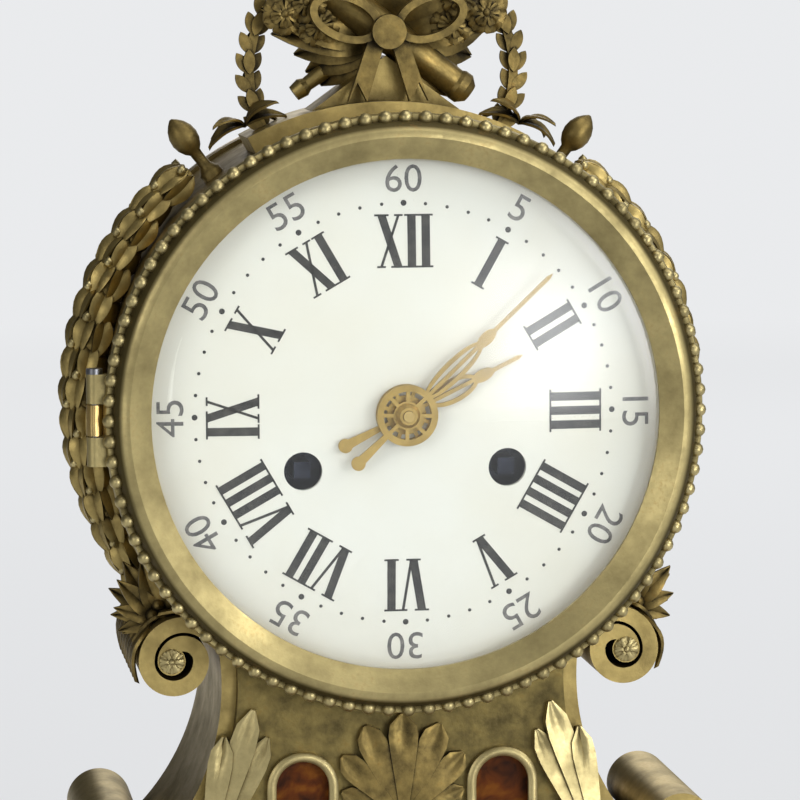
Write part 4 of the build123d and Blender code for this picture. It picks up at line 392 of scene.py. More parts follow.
dark_gold = gilt_finish("dark_gold", (0.36, 0.26, 0.085), (0.026, 0.018, 0.005), 0.0026, 0.2, 260.0)
dress("waist_cartouche", dark_gold)
fan = []
for n in range(SHELL_LEAVES):
    lean = SHELL_SPREAD * (2 * n / (SHELL_LEAVES - 1) - 1)
    size = 1 - SHELL_SHORTER * (lean / SHELL_SPREAD) ** 2
    spot = SHELL_FOOT + FRONT * (SHELL_DEPTH * 0.35 + SHELL_PROUD * (n % 2))
    along = Vector((sin(lean), 0.0, cos(lean)))
    fan.append(turned_out(spot, along, FRONT) @ Matrix.Scale(size, 4))
leaves = plant(flute(SHELL_LENGTH, SHELL_LENGTH * 0.36, SHELL_DEPTH * 0.6), fan, "shell_leaves")
knops = plant(knop(SHELL_KNOP, SHELL_DEPTH * 1.2), [
    Matrix.Translation(SHELL_FOOT - Vector((0.0, 0.0, drop))) @ FACING @ Matrix.Scale(size, 4)
    for drop, size in SHELL_KNOPS], "shell_knops")
shell = joined([leaves, knops], "waist_shell")
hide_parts("waist_cartouche")
add_piece(shell, dark_gold, "case", 40)


# Rosettes in the eyes of the volutes: six petals round a knop, stamped from bronze and gilt.
# A rivet through the knop holds each of them to the front of its casting.

EYE_RADIUS = 0.0024
CRADLE_ROLL, CRADLE_EYE_SHIFT = 0.00825, 0.00215
FOOT_ROLL, FOOT_EYE_SHIFT = 0.0079, 0.0019
cradle_low, cradle_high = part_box("drum_cradle")
scroll_low, scroll_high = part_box("side_scroll_right")
ROLL_X, ROLL_Z = cradle_high[0] - CRADLE_ROLL, cradle_high[2] - CRADLE_ROLL
CRADLE_EYE = (ROLL_X + CRADLE_EYE_SHIFT, cradle_low[1], ROLL_Z)
FOOT_EYE = (scroll_high[0] - FOOT_ROLL + FOOT_EYE_SHIFT, scroll_low[1], scroll_low[2] + FOOT_ROLL)


def rosette(radius, petals):
    """A flower of round petals about a knop, facing +Z."""
    petal = flute(radius * 0.98, radius * 1.05, radius * 0.3)
    ring = plant(petal, [Matrix.Rotation(2 * pi * n / petals, 4, "Z") for n in range(petals)], "petals")
    middle = knop(radius * 0.34, radius * 0.45, 8)
    return joined([ring, middle], "rosette")


eyes = [Vector((side * x, y, z)) for x, y, z in (CRADLE_EYE, FOOT_EYE) for side in (-1, 1)]
rosettes = plant(rosette(EYE_RADIUS, 6), [Matrix.Translation(eye) @ FACING for eye in eyes],
                 "volute_rosettes")
add_piece(rosettes, pale_gold, "case", 40)


# Flank leaves: long reeded leaves on the front of the waist, between the panels and its hollowed
# edges. They are chased bronze mounts, pinned through the casting.

FLANK_FOOT = (0.0374, 0.0015)
FLANK_LEAVES = ((9.0, 0.0270, 0.0058), (17.0, 0.0330, 0.0062), (25.0, 0.0290, 0.0056))
FLANK_DEPTH = 0.0016
FLANK_TURN = radians(11.0)
flanks = []
for lean, length, width in FLANK_LEAVES:
    places = []
    for side in (-1, 1):
        foot = Vector((side * FLANK_FOOT[0], WAIST_FRONT - FLANK_DEPTH * 0.4, waist_low[2] + FLANK_FOOT[1]))
        along = Vector((-side * sin(radians(lean)), 0.0, cos(radians(lean))))
        face = Vector((side * sin(FLANK_TURN), -cos(FLANK_TURN), 0.0))
        places.append(turned_out(foot, along, face))
    flanks.append(plant(flute(length, width, FLANK_DEPTH), places, "leaf"))
add_piece(joined(flanks, "flank_leaves"), pale_gold, "case", 40)


# Drum: a bronze tube with a raised band at each end, turned outside and gilt. It lies in the
# cradle, and its gilding has gone browner than that of the castings round it.

DRUM_SEAT = 0.05305
dial_low, dial_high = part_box("dial_enamel")
DIAL_CENTRE = Vector((0.0, 0.0, (dial_low[2] + dial_high[2]) / 2))
dress("drum_shell", gilt_finish("drum_gold", (0.40, 0.29, 0.10), (0.085, 0.058, 0.016), 0.006, 0.15))


# Garlands of laurel on the sides of the drum, with berries between the leaves. The husks that
# carry them are cast with the leaves; leaves and berries are chased by hand before gilding.

GARLAND_STATIONS, GARLAND_TAIL = 15, 2
GARLAND_TOP, GARLAND_SWEEP = radians(50.0), radians(81.0)
GARLAND_Y = 0.002
GARLAND_LIFT = 0.0033
HUSK_SMALL, HUSK_SWELL = 0.0026, 0.0016
HUSK_MARGIN, HUSK_LEAST = 0.8, 0.1
LAUREL_LENGTH, LAUREL_WIDTH = 0.0088, 0.0038
LAUREL_ROWS = 8
LAUREL_LEAN = radians(15.0)
LAUREL_ROUND, LAUREL_FIRST, LAUREL_TURN = 5, -108.0, 48.0
LAUREL_SEAT = 0.72
BERRY, BERRY_DROP, BERRY_PROUD = 0.0009, 0.0012, 0.0006
dress("garland_right garland_left", dark_gold)


def laurel(length, width):
    """A pointed leaf along +Y with a sunk midrib and a drooping tip."""
    begin("grid", x_subdivisions=4, y_subdivisions=LAUREL_ROWS, size=1.0)
    bpy.ops.transform.resize(value=(width, length, 1.0))
    bpy.ops.transform.translate(value=(0.0, length / 2, 0.0))
    for row in range(LAUREL_ROWS + 1):
        share = row / LAUREL_ROWS
        y = share * length
        pick(lambda co: abs(co.y - y) < length / 1000)
        bpy.ops.transform.resize(value=(max(sin(pi * share ** 0.85) ** 0.8, 0.06), 1.0, 1.0),
                                 center_override=(0.0, y, 0.0))
        bpy.ops.transform.translate(value=(0.0, 0.0, width * (0.35 * sin(pi * share) - 0.45 * share ** 2)))
    pick(lambda co: abs(co.x) < width / 1000)
    bpy.ops.transform.translate(value=(0.0, 0.0, -0.10 * width))
    bpy.ops.mesh.select_all(action="SELECT")
    bpy.ops.mesh.extrude_region_move(TRANSFORM_OT_translate={"value": (0.0, 0.0, -0.14 * width)})
    return close("laurel")


def berry(radius):
    """A round berry with a pointed tip."""
    begin("ico_sphere", subdivisions=2, radius=radius)
    pick(lambda co: co.z > radius * 0.9)
    bpy.ops.transform.translate(value=(0.0, 0.0, radius * 0.3))
    return close("berry")


def spoke(side, angle):
    """A direction out from the drum's axis, at an angle above the level on its right or left."""
    return Vector((side * cos(angle), 0.0, sin(angle)))


leaf_places, berry_places = [], []
for side in (-1, 1):
    for n in range(GARLAND_STATIONS + GARLAND_TAIL):
        angle = GARLAND_TOP - n * GARLAND_SWEEP / GARLAND_STATIONS
        out, down = spoke(side, angle), spoke(side, angle - pi / 2)
        middle = DIAL_CENTRE + out * (DRUM_SEAT + GARLAND_LIFT) + Vector((0.0, GARLAND_Y, 0.0))
        swell = sin(pi * (n + HUSK_MARGIN) / (GARLAND_STATIONS - 1 + 2 * HUSK_MARGIN))
        husk = HUSK_SMALL + HUSK_SWELL * max(swell, HUSK_LEAST)
        for k in range(LAUREL_ROUND):
            turn = radians(LAUREL_FIRST + LAUREL_TURN * (k + 0.5 * (n % 2)))
            face = out * cos(turn) + Vector((0.0, sin(turn), 0.0))
            along = down * cos(LAUREL_LEAN) + face * sin(LAUREL_LEAN)
            leaf_places.append(turned_out(middle + face * husk * LAUREL_SEAT, along, face))
            if k % 2:
                spot = middle + down * BERRY_DROP + face * (husk + BERRY_PROUD)
                berry_places.append(Matrix.Translation(spot))
leaves = plant(laurel(LAUREL_LENGTH, LAUREL_WIDTH), leaf_places, "garland_leaves")
berries = plant(berry(BERRY), berry_places, "garland_berries")
add_piece(leaves, old_gold, "case", 35)
add_piece(berries, pale_gold, "case", 60)


# Pegs that the garlands hang from: bronze knobs on a short stem, turned in one piece and gilt.
# Each of them stands on the drum by its round foot.

PEG_ANGLE = radians(53.0)
PEG_RADIUS, PEG_LENGTH = 0.0027, 0.0134
PEG_STEPS = 32
PEG_RINGS = (
    (0.80, 0.0), (0.80, 0.10), (0.64, 0.13), (0.44, 0.20), (0.40, 0.30), (0.42, 0.43), (0.66, 0.48),
    (0.90, 0.57), (1.0, 0.67), (0.93, 0.78), (0.70, 0.88), (0.40, 0.95), (0.10, 1.0))


def turned_peg(radius, length, rings):
    """A turned knob along +Z, drawn up ring by ring from a disc."""
    width, height = rings[0]
    begin("circle", vertices=PEG_STEPS, radius=radius * width, fill_type="NGON")
    for wide, high in rings[1:]:
        bpy.ops.mesh.extrude_region_move(
            TRANSFORM_OT_translate={"value": (0.0, 0.0, (high - height) * length)})
        bpy.ops.transform.resize(value=(wide / width, wide / width, 1.0), center_override=(0.0, 0.0, 0.0))
        width, height = wide, high
    return close("peg")


peg_places = []
for side in (-1, 1):
    out = spoke(side, PEG_ANGLE)
    spot = DIAL_CENTRE + out * DRUM_SEAT + Vector((0.0, GARLAND_Y, 0.0))
    peg_places.append(Matrix.Translation(spot) @ out.to_track_quat("Z", "Y").to_matrix().to_4x4())
pegs = plant(turned_peg(PEG_RADIUS, PEG_LENGTH, PEG_RINGS), peg_places, "turned_pegs")
dress("garland_pegs", dark_gold)
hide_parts("garland_pegs")
add_piece(pegs, dark_gold, "case", 50)


# Leaves on the rolls of the cradle: laurel chased in rows over the rolls that the garlands come
# down to. They are cast with the cradle and gilt with it.

ROLL_ROWS = (radians(132.0), radians(88.0), radians(44.0))
ROLL_COUNT, ROLL_STEP = 8, 0.0052
ROLL_LEAF, ROLL_LIFT, ROLL_LEAN = 1.15, 0.0004, radians(18.0)
roll_places = []
for side in (-1, 1):
    middle = Vector((side * ROLL_X, 0.0, ROLL_Z))
    for row, angle in enumerate(ROLL_ROWS):
        out, down = spoke(side, angle), spoke(side, angle - pi / 2)
        along = down * cos(ROLL_LEAN) - out * sin(ROLL_LEAN)
        for n in range(ROLL_COUNT):
            y = cradle_low[1] + ROLL_STEP * (n + 0.5 + 0.5 * (row % 2))
            spot = middle + out * (CRADLE_ROLL + ROLL_LIFT) + Vector((0.0, y, 0.0))
            roll_places.append(turned_out(spot, along, out) @ Matrix.Scale(ROLL_LEAF, 4))
roll_leaves = plant(laurel(LAUREL_LENGTH, LAUREL_WIDTH), roll_places, "cradle_leaves")
add_piece(roll_leaves, dark_gold, "case", 35)


# Bunches of laurel at the front ends of the same rolls, outside the drum: two layers of leaves
# about three berries. Each bunch is a small casting, pinned into the roll.

BUNCH_ANGLE = radians(63.0)
BUNCH_LAYERS = ((0.0060, ((-12, 1.05), (18, 1.2), (48, 1.15), (78, 0.95), (108, 0.9), (136, 0.8))),
                (0.0120, ((2, 1.05), (33, 1.25), (63, 1.1), (93, 0.95), (122, 0.85))))
BUNCH_FORWARD = -0.30
BUNCH_BERRY = 1.5
BUNCH_BERRIES = ((-0.0011, 0.0), (0.0011, 0.0), (0.0, 0.0019))
BERRY_DEPTH = BUNCH_LAYERS[0][0] - 0.0012
bunch_places, fruit_places = [], []
for side in (-1, 1):
    middle = Vector((side * ROLL_X, cradle_low[1], ROLL_Z))
    out = spoke(side, BUNCH_ANGLE)
    for depth, layer in BUNCH_LAYERS:
        root = middle + out * (CRADLE_ROLL + ROLL_LIFT) + Vector((0.0, depth, 0.0))
        for turn, size in layer:
            along = Vector((side * sin(radians(turn)), BUNCH_FORWARD, cos(radians(turn))))
            bunch_places.append(turned_out(root, along, FRONT) @ Matrix.Scale(size, 4))
    for across, up in BUNCH_BERRIES:
        spot = middle + out * (CRADLE_ROLL + BERRY) + Vector((across, BERRY_DEPTH, up))
        fruit_places.append(Matrix.Translation(spot) @ FACING @ Matrix.Scale(BUNCH_BERRY, 4))
bunches = joined([plant(laurel(LAUREL_LENGTH, LAUREL_WIDTH), bunch_places, "bunch"),
                  plant(berry(BERRY), fruit_places, "fruit")], "cradle_bunches")
add_piece(bunches, dark_gold, "case", 35)


# Trophy on the drum: a crossed quiver and torch on a saddle, tied with a ribbon, two sprays at
# its sides, and leaves and flowers that rise behind the bow. Cast in pieces and pinned.

TROPHY_Y = 0.0008
TROPHY_FOOT = DIAL_CENTRE + Vector((0.0, TROPHY_Y, 0.0690))
TROPHY_LEAVES = ((-66, 2.5), (-54, 2.3), (-78, 2.6), (-42, 2.4), (-90, 2.3), (-28, 2.1), (-13, 2.3),
                 (-104, 2.0), (0, 2.0), (-118, 1.9), (13, 2.3), (-132, 1.8), (28, 2.1), (42, 2.4),
                 (54, 2.3), (90, 2.5), (66, 2.5), (104, 2.3), (78, 2.6), (118, 2.2), (132, 2.0))
TROPHY_FORWARD = 0.22
SPRAY_ROOT = (0.0262, 0.0012)
SPRAY_FACE = (0.5, -0.4, 0.8)
SPRAY_LEAVES = ((112, 0.9, -0.1), (80, 0.8, -0.6), (-68, 0.9, -0.2), (-40, 0.9, -0.6), (104, 0.9, 0.6),
                (-70, 0.9, 0.6))
FLOWER, FLOWER_TURN = 0.0042, 0.6
FLOWER_LAYERS = ((1.0, 6, 0.0), (0.66, 5, 0.22))
FLOWERS = ((-0.0080, -0.0062, 0.0795), (0.0078, -0.0060, 0.0805), (0.0, -0.0075, 0.0855),
           (-0.0150, -0.0040, 0.0750), (0.0145, -0.0040, 0.0755), (-0.0190, -0.0034, 0.0728),
           (0.0190, -0.0034, 0.0728), (-0.0125, -0.0030, 0.0705), (0.0125, -0.0030, 0.0705))
dress("finial_stand finial_torch", old_gold)
dress("finial_quiver finial_branches finial_ribbon", dark_gold)
branch_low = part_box("finial_branches")[0]
trophy = []
for side in (-1, 1):
    root = Vector((side * SPRAY_ROOT[0], TROPHY_Y, branch_low[2] + SPRAY_ROOT[1]))
    face = Vector((side * SPRAY_FACE[0], SPRAY_FACE[1], SPRAY_FACE[2]))
    for turn, size, reach in SPRAY_LEAVES:
        along = Vector((side * sin(radians(turn)), reach, cos(radians(turn))))
        trophy.append(turned_out(root, along, face) @ Matrix.Scale(size, 4))
for n, (turn, size) in enumerate(TROPHY_LEAVES):
    forward = TROPHY_FORWARD * (2 * (n % 2) - 1)
    along = Vector((sin(radians(turn)), forward, cos(radians(turn))))
    trophy.append(turned_out(TROPHY_FOOT, along, FRONT) @ Matrix.Scale(size, 4))
trophy_leaves = plant(laurel(LAUREL_LENGTH, LAUREL_WIDTH), trophy, "trophy_leaves")
add_piece(trophy_leaves, dark_gold, "case", 35)
blooms = [Matrix.Translation(DIAL_CENTRE + Vector(place)) @ FACING @ Matrix.Rotation(FLOWER_TURN * n, 4, "Z")
          for n, place in enumerate(FLOWERS)]
flowers = []
for size, petals, lift in FLOWER_LAYERS:
    raised = Matrix.Translation((0.0, 0.0, FLOWER * lift)) @ Matrix.Rotation(lift, 4, "Z")
    flowers.append(plant(rosette(FLOWER * size, petals), [bloom @ raised for bloom in blooms], "petals"))
add_piece(joined(flowers, "trophy_flowers"), dark_gold, "case", 40)


# Movement: brass plates, wheels and pillars with a straight grain, steel arbors and screws,
# and a bell of pale bell metal with the lines of the turning tool.

BELL_DROP = 0.002


def brass_finish(name, colour, spot):
    """Brass with a straight grain and spots of tarnish."""
    material, place, shader = new_finish(name)
    lie = place.add("ShaderNodeMapping", None, {"Vector": place, "Scale": (40.0, 900.0, 2600.0)})
    grain = lie.noise(1.0, 3.0)
    tarnish = place.noise(160.0, 5.0, Roughness=0.65).spread(0.50, 0.72)
    tone = grain.between((*(0.85 * c for c in colour), 1.0), (*colour, 1.0))
    feed(shader, Base_Color=(tarnish * 0.6).between(tone, (*spot, 1.0)), Metallic=1.0,
         Roughness=0.24 + 0.16 * grain + 0.2 * tarnish, Normal=grain.relief(0.2, 0.0001))
    return material


def steel_finish(name, dark, light):
    """Polished steel with a thin film in two tones."""
    material, place, shader = new_finish(name)
    lie = place.add("ShaderNodeMapping", None, {"Vector": place, "Scale": (700.0, 60.0, 700.0)})
    lines = lie.noise(1.0, 2.0)
    film = place.noise(220.0, 3.0)
    colour = film.spread(0.35, 0.7).between((*dark, 1.0), (*light, 1.0))
    feed(shader, Base_Color=colour, Metallic=1.0, Roughness=0.22 + 0.2 * lines)
    return material


def turned_finish(name, colour, line, pitch, middle):
    """Metal with fine rings about an axis along Y, as the turning tool leaves it."""
    material, place, shader = new_finish(name)
    ring = (from_axis(place, middle) * (2 * pi / pitch)).math("SINE")
    film = place.noise(190.0, 4.0)
    tone = film.spread(0.38, 0.68).between((*colour, 1.0), (*line, 1.0))
    feed(shader, Base_Color=tone, Metallic=1.0, Roughness=0.22 + 0.05 * ring + 0.18 * film,
         Normal=ring.relief(0.25, 0.0001))
    return material


brass = brass_finish("grained_brass", (0.66, 0.47, 0.18), (0.30, 0.19, 0.07))
steel = steel_finish("polished_steel", (0.16, 0.165, 0.18), (0.34, 0.34, 0.35))
# Dark blued steel for the screws, also put on the winding arbors, where its darkness is painted shade inside
# the winding holes.
blued_and_shade_steel = steel_finish("blued_steel", (0.012, 0.014, 0.024), (0.045, 0.050, 0.072))
dress("front_plate back_plate plate_pillars movement_nuts anchor_cock suspension_block", brass)
dress("hour_wheel minute_wheel cannon_pinion second_wheel centre_wheel third_wheel escape_wheel", brass)
dress("strike_second_wheel pin_wheel warning_wheel pendulum movement_straps", brass)
dress("case_bolts hinge_pins winding_clicks pallet_anchor strike_fly strike_hammer bell_stand", steel)
# The arbors are darkened as painted shade in the winding holes; the screws are blued.
dress("going_arbor strike_arbor strap_screws", blued_and_shade_steel)
dress("going_barrel strike_barrel rear_ring rear_door dial_carrier glass_retainer",
      turned_finish("turned_brass", (0.62, 0.45, 0.18), (0.42, 0.28, 0.10), 0.0007, DIAL_CENTRE.z))
dress("bell", turned_finish("bell_metal", (0.66, 0.58, 0.40), (0.46, 0.38, 0.24), 0.0005,
                            DIAL_CENTRE.z - BELL_DROP))


# Dial: a domed copper disc under white enamel, fired smooth and pierced for the winding squares
# and the hands. It lies in the brass carrier behind the bezel.

def enamel_finish(name):
    """Fired enamel: warm white in faint clouds, with a few pores."""
    material, place, shader = new_finish(name)
    cloud = place.noise(26.0, 3.0)
    speck = place.noise(2400.0, 2.0)
    colour = cloud.spread(0.38, 0.66).between((0.84, 0.825, 0.755, 1.0), (0.80, 0.765, 0.66, 1.0))
    pores = (speck.spread(0.70, 0.78) * 0.35).between(colour, (0.45, 0.42, 0.36, 1.0))
    feed(shader, Base_Color=pores, Roughness=0.10 + 0.08 * cloud, Coat_Weight=0.4, Coat_Roughness=0.05,
         Normal=cloud.relief(0.05, 0.0005))
    return material


dress("dial_enamel", enamel_finish("white_enamel"))


# Hour numerals: Roman letters with thick strokes, hair strokes and fine serifs, set towards the
# rim. They are painted on the white in black enamel and fired on.

DIAL_CROWN = dial_low[1]
DIAL_CURVE = 0.5357
PRINT = 0.00003
HOUR_TURN = pi / 6
HOUR_REACH = 0.0316
HOUR_HEIGHT = 0.0094
THICK, HAIR = 0.00155, 0.00050
SERIF_EXTRA, SERIF_HEIGHT = 0.0011, 0.00035
LETTER_WIDTHS = {"I": 0.0026, "V": 0.0053, "X": 0.0054}
LETTER_STROKES = {
    "I": ((0.0, 0.0, THICK),),
    "V": ((-0.0001, -0.0017, THICK), (0.0003, 0.0018, HAIR)),
    "X": ((0.0015, -0.0015, THICK), (-0.0016, 0.0016, HAIR)),
}
HOURS = ("XII", "I", "II", "III", "IIII", "V", "VI", "VII", "VIII", "IX", "X", "XI")


def print_finish(name, dark, worn):
    """Painted enamel, thinner and paler in places."""
    material, place, shader = new_finish(name)
    wear = place.noise(900.0, 4.0)
    thin = place.noise(120.0, 2.0)
    colour = (wear * 0.6 + thin * 0.5).spread(0.45, 0.80).between((*dark, 1.0), (*worn, 1.0))
    feed(shader, Base_Color=colour, Roughness=0.22 + 0.2 * wear)
    return material


def on_dial(clock_angle, reach):
    """A place on the dome of the dial: X to the right of a numeral, Y outwards, Z to the reader."""
    right = Vector((cos(clock_angle), 0.0, -sin(clock_angle)))
    out = Vector((sin(clock_angle), 0.0, cos(clock_angle)))
    slope = asin(reach / DIAL_CURVE)
    up = cos(slope) * out + Vector((0.0, sin(slope), 0.0))
    spot = DIAL_CENTRE + out * reach + Vector((0.0, DIAL_CROWN + DIAL_CURVE * (1 - cos(slope)) - PRINT, 0.0))
    turn = Matrix((right, up, right.cross(up))).transposed().to_4x4()
    return Matrix.Translation(spot) @ turn


def stroke(foot, head, width, height):
    """One stroke of a numeral: flat at foot and head, leaning where these differ."""
    begin("plane", size=1.0)
    bpy.ops.transform.resize(value=(width, height, 1.0))
    bpy.ops.transform.translate(value=(foot, 0.0, 0.0))
    pick(lambda co: co.y > 0.0)
    bpy.ops.transform.translate(value=(head - foot, 0.0, 0.0))
    bpy.ops.object.mode_set(mode="OBJECT")
    return bpy.context.object


def letter(strokes, height, name):
    """A letter of thick and thin strokes with hair serifs along its foot and head."""
    parts = []
    for foot, head, width in strokes:
        parts.append(stroke(foot, head, width, height))
        for end, middle in ((-1, foot), (1, head)):
            serif = stroke(middle, middle, width + SERIF_EXTRA, SERIF_HEIGHT)
            serif.data.transform(Matrix.Translation((0.0, end * height / 2, 0.0)))
            parts.append(serif)
    return joined(parts, name)


letter_places = {kind: [] for kind in LETTER_STROKES}
for hour, numeral in enumerate(HOURS):
    offset = -sum(LETTER_WIDTHS[kind] for kind in numeral) / 2
    for kind in numeral:
        offset += LETTER_WIDTHS[kind] / 2
        beside = Matrix.Translation((offset, 0.0, 0.0))
        letter_places[kind].append(on_dial(hour * HOUR_TURN, HOUR_REACH) @ beside)
        offset += LETTER_WIDTHS[kind] / 2
black_print = print_finish("black_print", (0.012, 0.011, 0.010), (0.075, 0.068, 0.058))
hours = joined([plant(letter(LETTER_STROKES[kind], HOUR_HEIGHT, "letter"), places, "letters")
                for kind, places in letter_places.items()], "dial_hours")
add_piece(hours, black_print, "case")


# Minute figures: plain Arabic figures outside the hours, one for every five minutes. They are
# painted in a thinner, greyer enamel and fired with the hours.

MINUTE_REACH = 0.0427
MINUTE_HEIGHT = 0.0052
FIGURE_SHARE = 0.72
TYPE_SCALE = 0.001
minutes = []
for n in range(len(HOURS)):
    bpy.ops.object.select_all(action="DESELECT")
    bpy.ops.object.text_add()
    figure = bpy.context.object
    figure.data.body = str(5 * n or 60)
    figure.data.align_x, figure.data.align_y = "CENTER", "CENTER"
    figure.data.size = MINUTE_HEIGHT / FIGURE_SHARE / TYPE_SCALE
    figure.data.resolution_u = 4
    bpy.ops.object.convert(target="MESH")
    bpy.context.object.data.transform(on_dial(n * HOUR_TURN, MINUTE_REACH) @ Matrix.Scale(TYPE_SCALE, 4))
    minutes.append(bpy.context.object)
grey_print = print_finish("grey_print", (0.085, 0.080, 0.078), (0.30, 0.28, 0.26))
add_piece(joined(minutes, "dial_minutes"), grey_print, "case")


# Minute dots: drops of black enamel on a circle between the hours and the minute figures, larger
# at every fifth minute. They are set with a pen and fired with the figures.

TRACK_REACH = 0.0385
DOT, FIFTH_DOT = 0.00032, 1.7
MINUTES = 60


def dot(radius):
    """A drop of black enamel, its middle raised a hair."""
    begin("circle", vertices=12, radius=radius, fill_type="NGON")
    bpy.ops.mesh.inset(thickness=radius * 0.4)
    bpy.ops.transform.translate(value=(0.0, 0.0, radius * 0.1))
    return close("dot")


track = plant(dot(DOT), [
    on_dial(2 * pi * n / MINUTES, TRACK_REACH) @ Matrix.Scale(1.0 if n % 5 else FIFTH_DOT, 4)
    for n in range(MINUTES)], "dial_dots")
add_piece(track, black_print, "case")


# Hands: sheet brass, pierced with a saw, engraved and gilt. The hour hand sits on the pipe
# of its wheel and the minute hand on a square, under a turned nut.

hand_gold = gilt_finish("hand_gold", (0.58, 0.40, 0.13), (0.16, 0.095, 0.02), 0.0008)
dress("minute_hand hour_hand hand_nut", hand_gold)


# Bezel: a turned and gilt bronze ring with a row of pearls, swinging on a hinge at the left.
# The pearls are cast with the ring and burnished, and a dark ring of painted shade lies in the groove beside
# them.

PEARLS = 92
PEARL = 0.00135
PEARL_CIRCLE = 0.0543
PEARL_Y = -0.0303
# Radius, width and axis height of the painted shade in the groove beside the pearls.
BEZEL_GROOVE_SHADE = (0.0533, 0.0012, DIAL_CENTRE.z)
dress("front_bezel", gilt_finish("bezel_gold", (0.56, 0.46, 0.21), (0.075, 0.055, 0.014), 0.003, 0.05, 90.0,
                                 BEZEL_GROOVE_SHADE))
pearl_places = []
for n in range(PEARLS):
    angle = 2 * pi * n / PEARLS
    spot = DIAL_CENTRE + Vector((PEARL_CIRCLE * sin(angle), PEARL_Y, PEARL_CIRCLE * cos(angle)))
    pearl_places.append(Matrix.Translation(spot) @ FACING)
pearls = plant(knop(PEARL, PEARL * 1.1, 6, 12), pearl_places, "bezel_pearls")
add_piece(pearls, pale_gold, "front_bezel", 60)


# Glass in the bezel: blown, and cut from its bulb as a dome with a flat edge. It lies in a seat
# at the back of the ring, where a brass retainer holds it.

GLASS_THICK = 0.0012
GLASS_DOME = 0.0462
GLASS_RINGS, GLASS_STEPS = 18, 128
glass_low, glass_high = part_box("bezel_glass")
GLASS_LIP = glass_high[1] - GLASS_THICK


def glass_finish(name):
    """Clear glass with a faint smear, which lets the light of the lamps through to the dial."""
    material, place, shader = new_finish(name)
    smear = place.noise(60.0, 3.0)
    feed(shader, Base_Color=(0.97, 0.99, 0.98, 1.0), Roughness=0.05 * smear.spread(0.45, 0.85),
         IOR=1.48, Transmission_Weight=1.0)
    lamp = place.add("ShaderNodeLightPath", output="Is Shadow Ray")
    clear = place.add("ShaderNodeBsdfTransparent", None, {"Color": (0.96, 0.97, 0.965, 1.0)})
    mixed = place.add("ShaderNodeMixShader", None,
                      {0: lamp, 1: Shade(place.tree, shader.outputs[0]), 2: clear})
    feed(place.tree.nodes["Material Output"], Surface=mixed)
    return material


def dome_glass(radius, dome, rise, thick):
    """A flat ring that goes over into a dome along +Z, drawn up ring by ring from a disc."""
    curve = (dome ** 2 + rise ** 2) / (2 * rise)
    begin("circle", vertices=GLASS_STEPS, radius=radius, fill_type="NGON")
    bpy.ops.mesh.inset(thickness=radius - dome)
    height = 0.0
    for ring in range(1, GLASS_RINGS):
        reach = dome * (1 - ring / GLASS_RINGS)
        bpy.ops.mesh.inset(thickness=dome / GLASS_RINGS)
        lift = sqrt(curve ** 2 - reach ** 2) - (curve - rise) - height
        bpy.ops.transform.translate(value=(0.0, 0.0, lift))
        height += lift
    bpy.ops.mesh.poke(offset=rise - height)
    bpy.ops.mesh.select_all(action="SELECT")
    bpy.ops.mesh.extrude_region_move(TRANSFORM_OT_translate={"value": (0.0, 0.0, -thick)})
    return close("bezel_dome")


dome = dome_glass(glass_high[0], GLASS_DOME, GLASS_LIP - glass_low[1], GLASS_THICK)
dome.data.transform(Matrix.Translation((0.0, GLASS_LIP, DIAL_CENTRE.z)) @ FACING)
domed_glass = glass_finish("domed_glass")
dress("bezel_glass", domed_glass)
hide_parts("bezel_glass")
add_piece(dome, domed_glass, "front_bezel", 30)


# Studio floor: a plain pale sheet that fades into the backdrop with its distance. Its far part
# is open to reflected rays, so that the horizon cuts no reflection. It is no part of the clock.

FLOOR_SIZE = 8.0
FLOOR_NEAR, FLOOR_FAR = 0.2, 1.6
FLOOR_GLOW, FLOOR_SHEEN = 0.7, 0.45
PALE = (0.82, 0.83, 0.845, 1.0)
begin("plane", size=FLOOR_SIZE)
floor = close("studio_floor")
material, place, shader = new_finish("pale_floor")
feed(shader, Base_Color=PALE, Roughness=0.9)
far = place.add("ShaderNodeVectorMath", {"operation": "LENGTH"}, {0: place}, 1).spread(FLOOR_NEAR, FLOOR_FAR)
camera_ray = place.add("ShaderNodeLightPath", output="Is Camera Ray")
glossy_ray = camera_ray.beside("Is Glossy Ray")
seen = camera_ray + glossy_ray * FLOOR_SHEEN + camera_ray.beside("Is Transmission Ray")
backdrop = place.add("ShaderNodeEmission", None, {"Color": PALE, "Strength": 1.0})
lit_floor = place.add("ShaderNodeMixShader", None, {
    0: seen * (FLOOR_GLOW + (1 - FLOOR_GLOW) * far), 1: Shade(place.tree, shader.outputs[0]), 2: backdrop})
open_air = place.add("ShaderNodeBsdfTransparent")
mixed = place.add("ShaderNodeMixShader", None, {0: glossy_ray * far, 1: lit_floor, 2: open_air})
feed(place.tree.nodes["Material Output"], Surface=mixed)
floor.data.materials.append(material)


# Air of the studio: an even pale backdrop for the camera, and for everything else a dim room with
# a broad light from the upper right and one bright window, which shows in the glass.

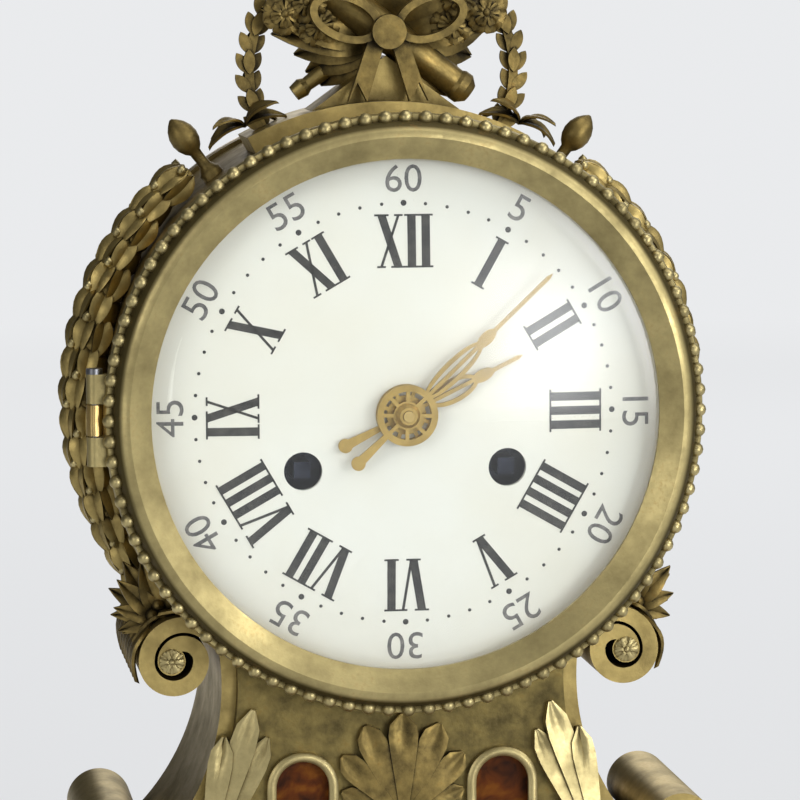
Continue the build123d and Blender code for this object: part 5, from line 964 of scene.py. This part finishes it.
WINDOW = Vector((0.49, -0.868, 0.07)).normalized()
LIGHT_SIDE = Vector((0.60, -0.45, 0.66)).normalized()
ROOM_LIGHT = 0.07
SIDE_LIGHT, SIDE_FOCUS = 0.85, 2.5
WINDOW_LIGHT, WINDOW_FOCUS = 11.5, 42.0
world = bpy.data.worlds.new("studio_air")
world.use_nodes = True
bpy.context.scene.world = world
air = Shade(world.node_tree)
look = air.add("ShaderNodeTexCoord", output="Generated")
lit = air.add("ShaderNodeVectorMath", {"operation": "DOT_PRODUCT"}, {0: look, 1: LIGHT_SIDE}, 1)
pane = air.add("ShaderNodeVectorMath", {"operation": "DOT_PRODUCT"}, {0: look, 1: WINDOW}, 1)
room = (ROOM_LIGHT + SIDE_LIGHT * lit.spread(-0.2, 1.0) ** SIDE_FOCUS
        + WINDOW_LIGHT * pane.spread(0.0, 1.0) ** WINDOW_FOCUS)
camera_ray = air.add("ShaderNodeLightPath", output="Is Camera Ray")
behind = camera_ray.math("MAXIMUM", camera_ray.beside("Is Transmission Ray"))
feed(world.node_tree.nodes["Background"], Color=PALE, Strength=behind + (1 - behind) * room)


# Lamps: four soft boxes, the strongest at the right of the clock, the others above it, at its
# left and behind it. All of them face the dial's centre.

def soft_lamp(name, place, size, power):
    """A square lamp at a place, turned to the clock."""
    lamp = bpy.data.objects.new(name, bpy.data.lights.new(name, "AREA"))
    lamp.data.size, lamp.data.energy = size, power
    lamp.location = place
    lamp.rotation_euler = (DIAL_CENTRE - Vector(place)).to_track_quat("-Z", "Y").to_euler()
    bpy.context.collection.objects.link(lamp)


soft_lamp("key_lamp", (0.95, -0.45, 0.80), 0.45, 3.2)
soft_lamp("top_lamp", (0.15, -0.1, 0.95), 0.5, 2.0)
soft_lamp("fill_lamp", (-0.75, -0.75, 0.35), 0.6, 2.3)
soft_lamp("back_lamp", (0.30, 1.05, 0.60), 0.8, 3.0)


# Camera: it stands a little to the left of the dial and a little above it, as in the photograph,
# and the picture cuts off the plinth and the top of the trophy.

CAMERA_AZIMUTH, CAMERA_ELEVATION, CAMERA_ROLL = radians(-8.0), radians(6.0), radians(-0.3)
CAMERA_DISTANCE = 0.75
VIEW_WIDTH = 0.1463
SENSOR_WIDTH = 36.0
AIM = DIAL_CENTRE + Vector((-0.0010, -0.028, 0.0026))
towards = Vector((sin(CAMERA_AZIMUTH) * cos(CAMERA_ELEVATION), -cos(CAMERA_AZIMUTH) * cos(CAMERA_ELEVATION),
                  sin(CAMERA_ELEVATION)))
camera = bpy.data.objects.new("photo_camera", bpy.data.cameras.new("photo_camera"))
camera.data.sensor_width = SENSOR_WIDTH
camera.data.lens = SENSOR_WIDTH * CAMERA_DISTANCE / VIEW_WIDTH
camera.data.clip_start = 0.01
turn = (-towards).to_track_quat("-Z", "Y").to_matrix().to_4x4() @ Matrix.Rotation(CAMERA_ROLL, 4, "Z")
camera.matrix_world = Matrix.Translation(AIM + towards * CAMERA_DISTANCE) @ turn
bpy.context.collection.objects.link(camera)
bpy.context.scene.camera = camera
bpy.context.scene.view_settings.view_transform = "Standard"
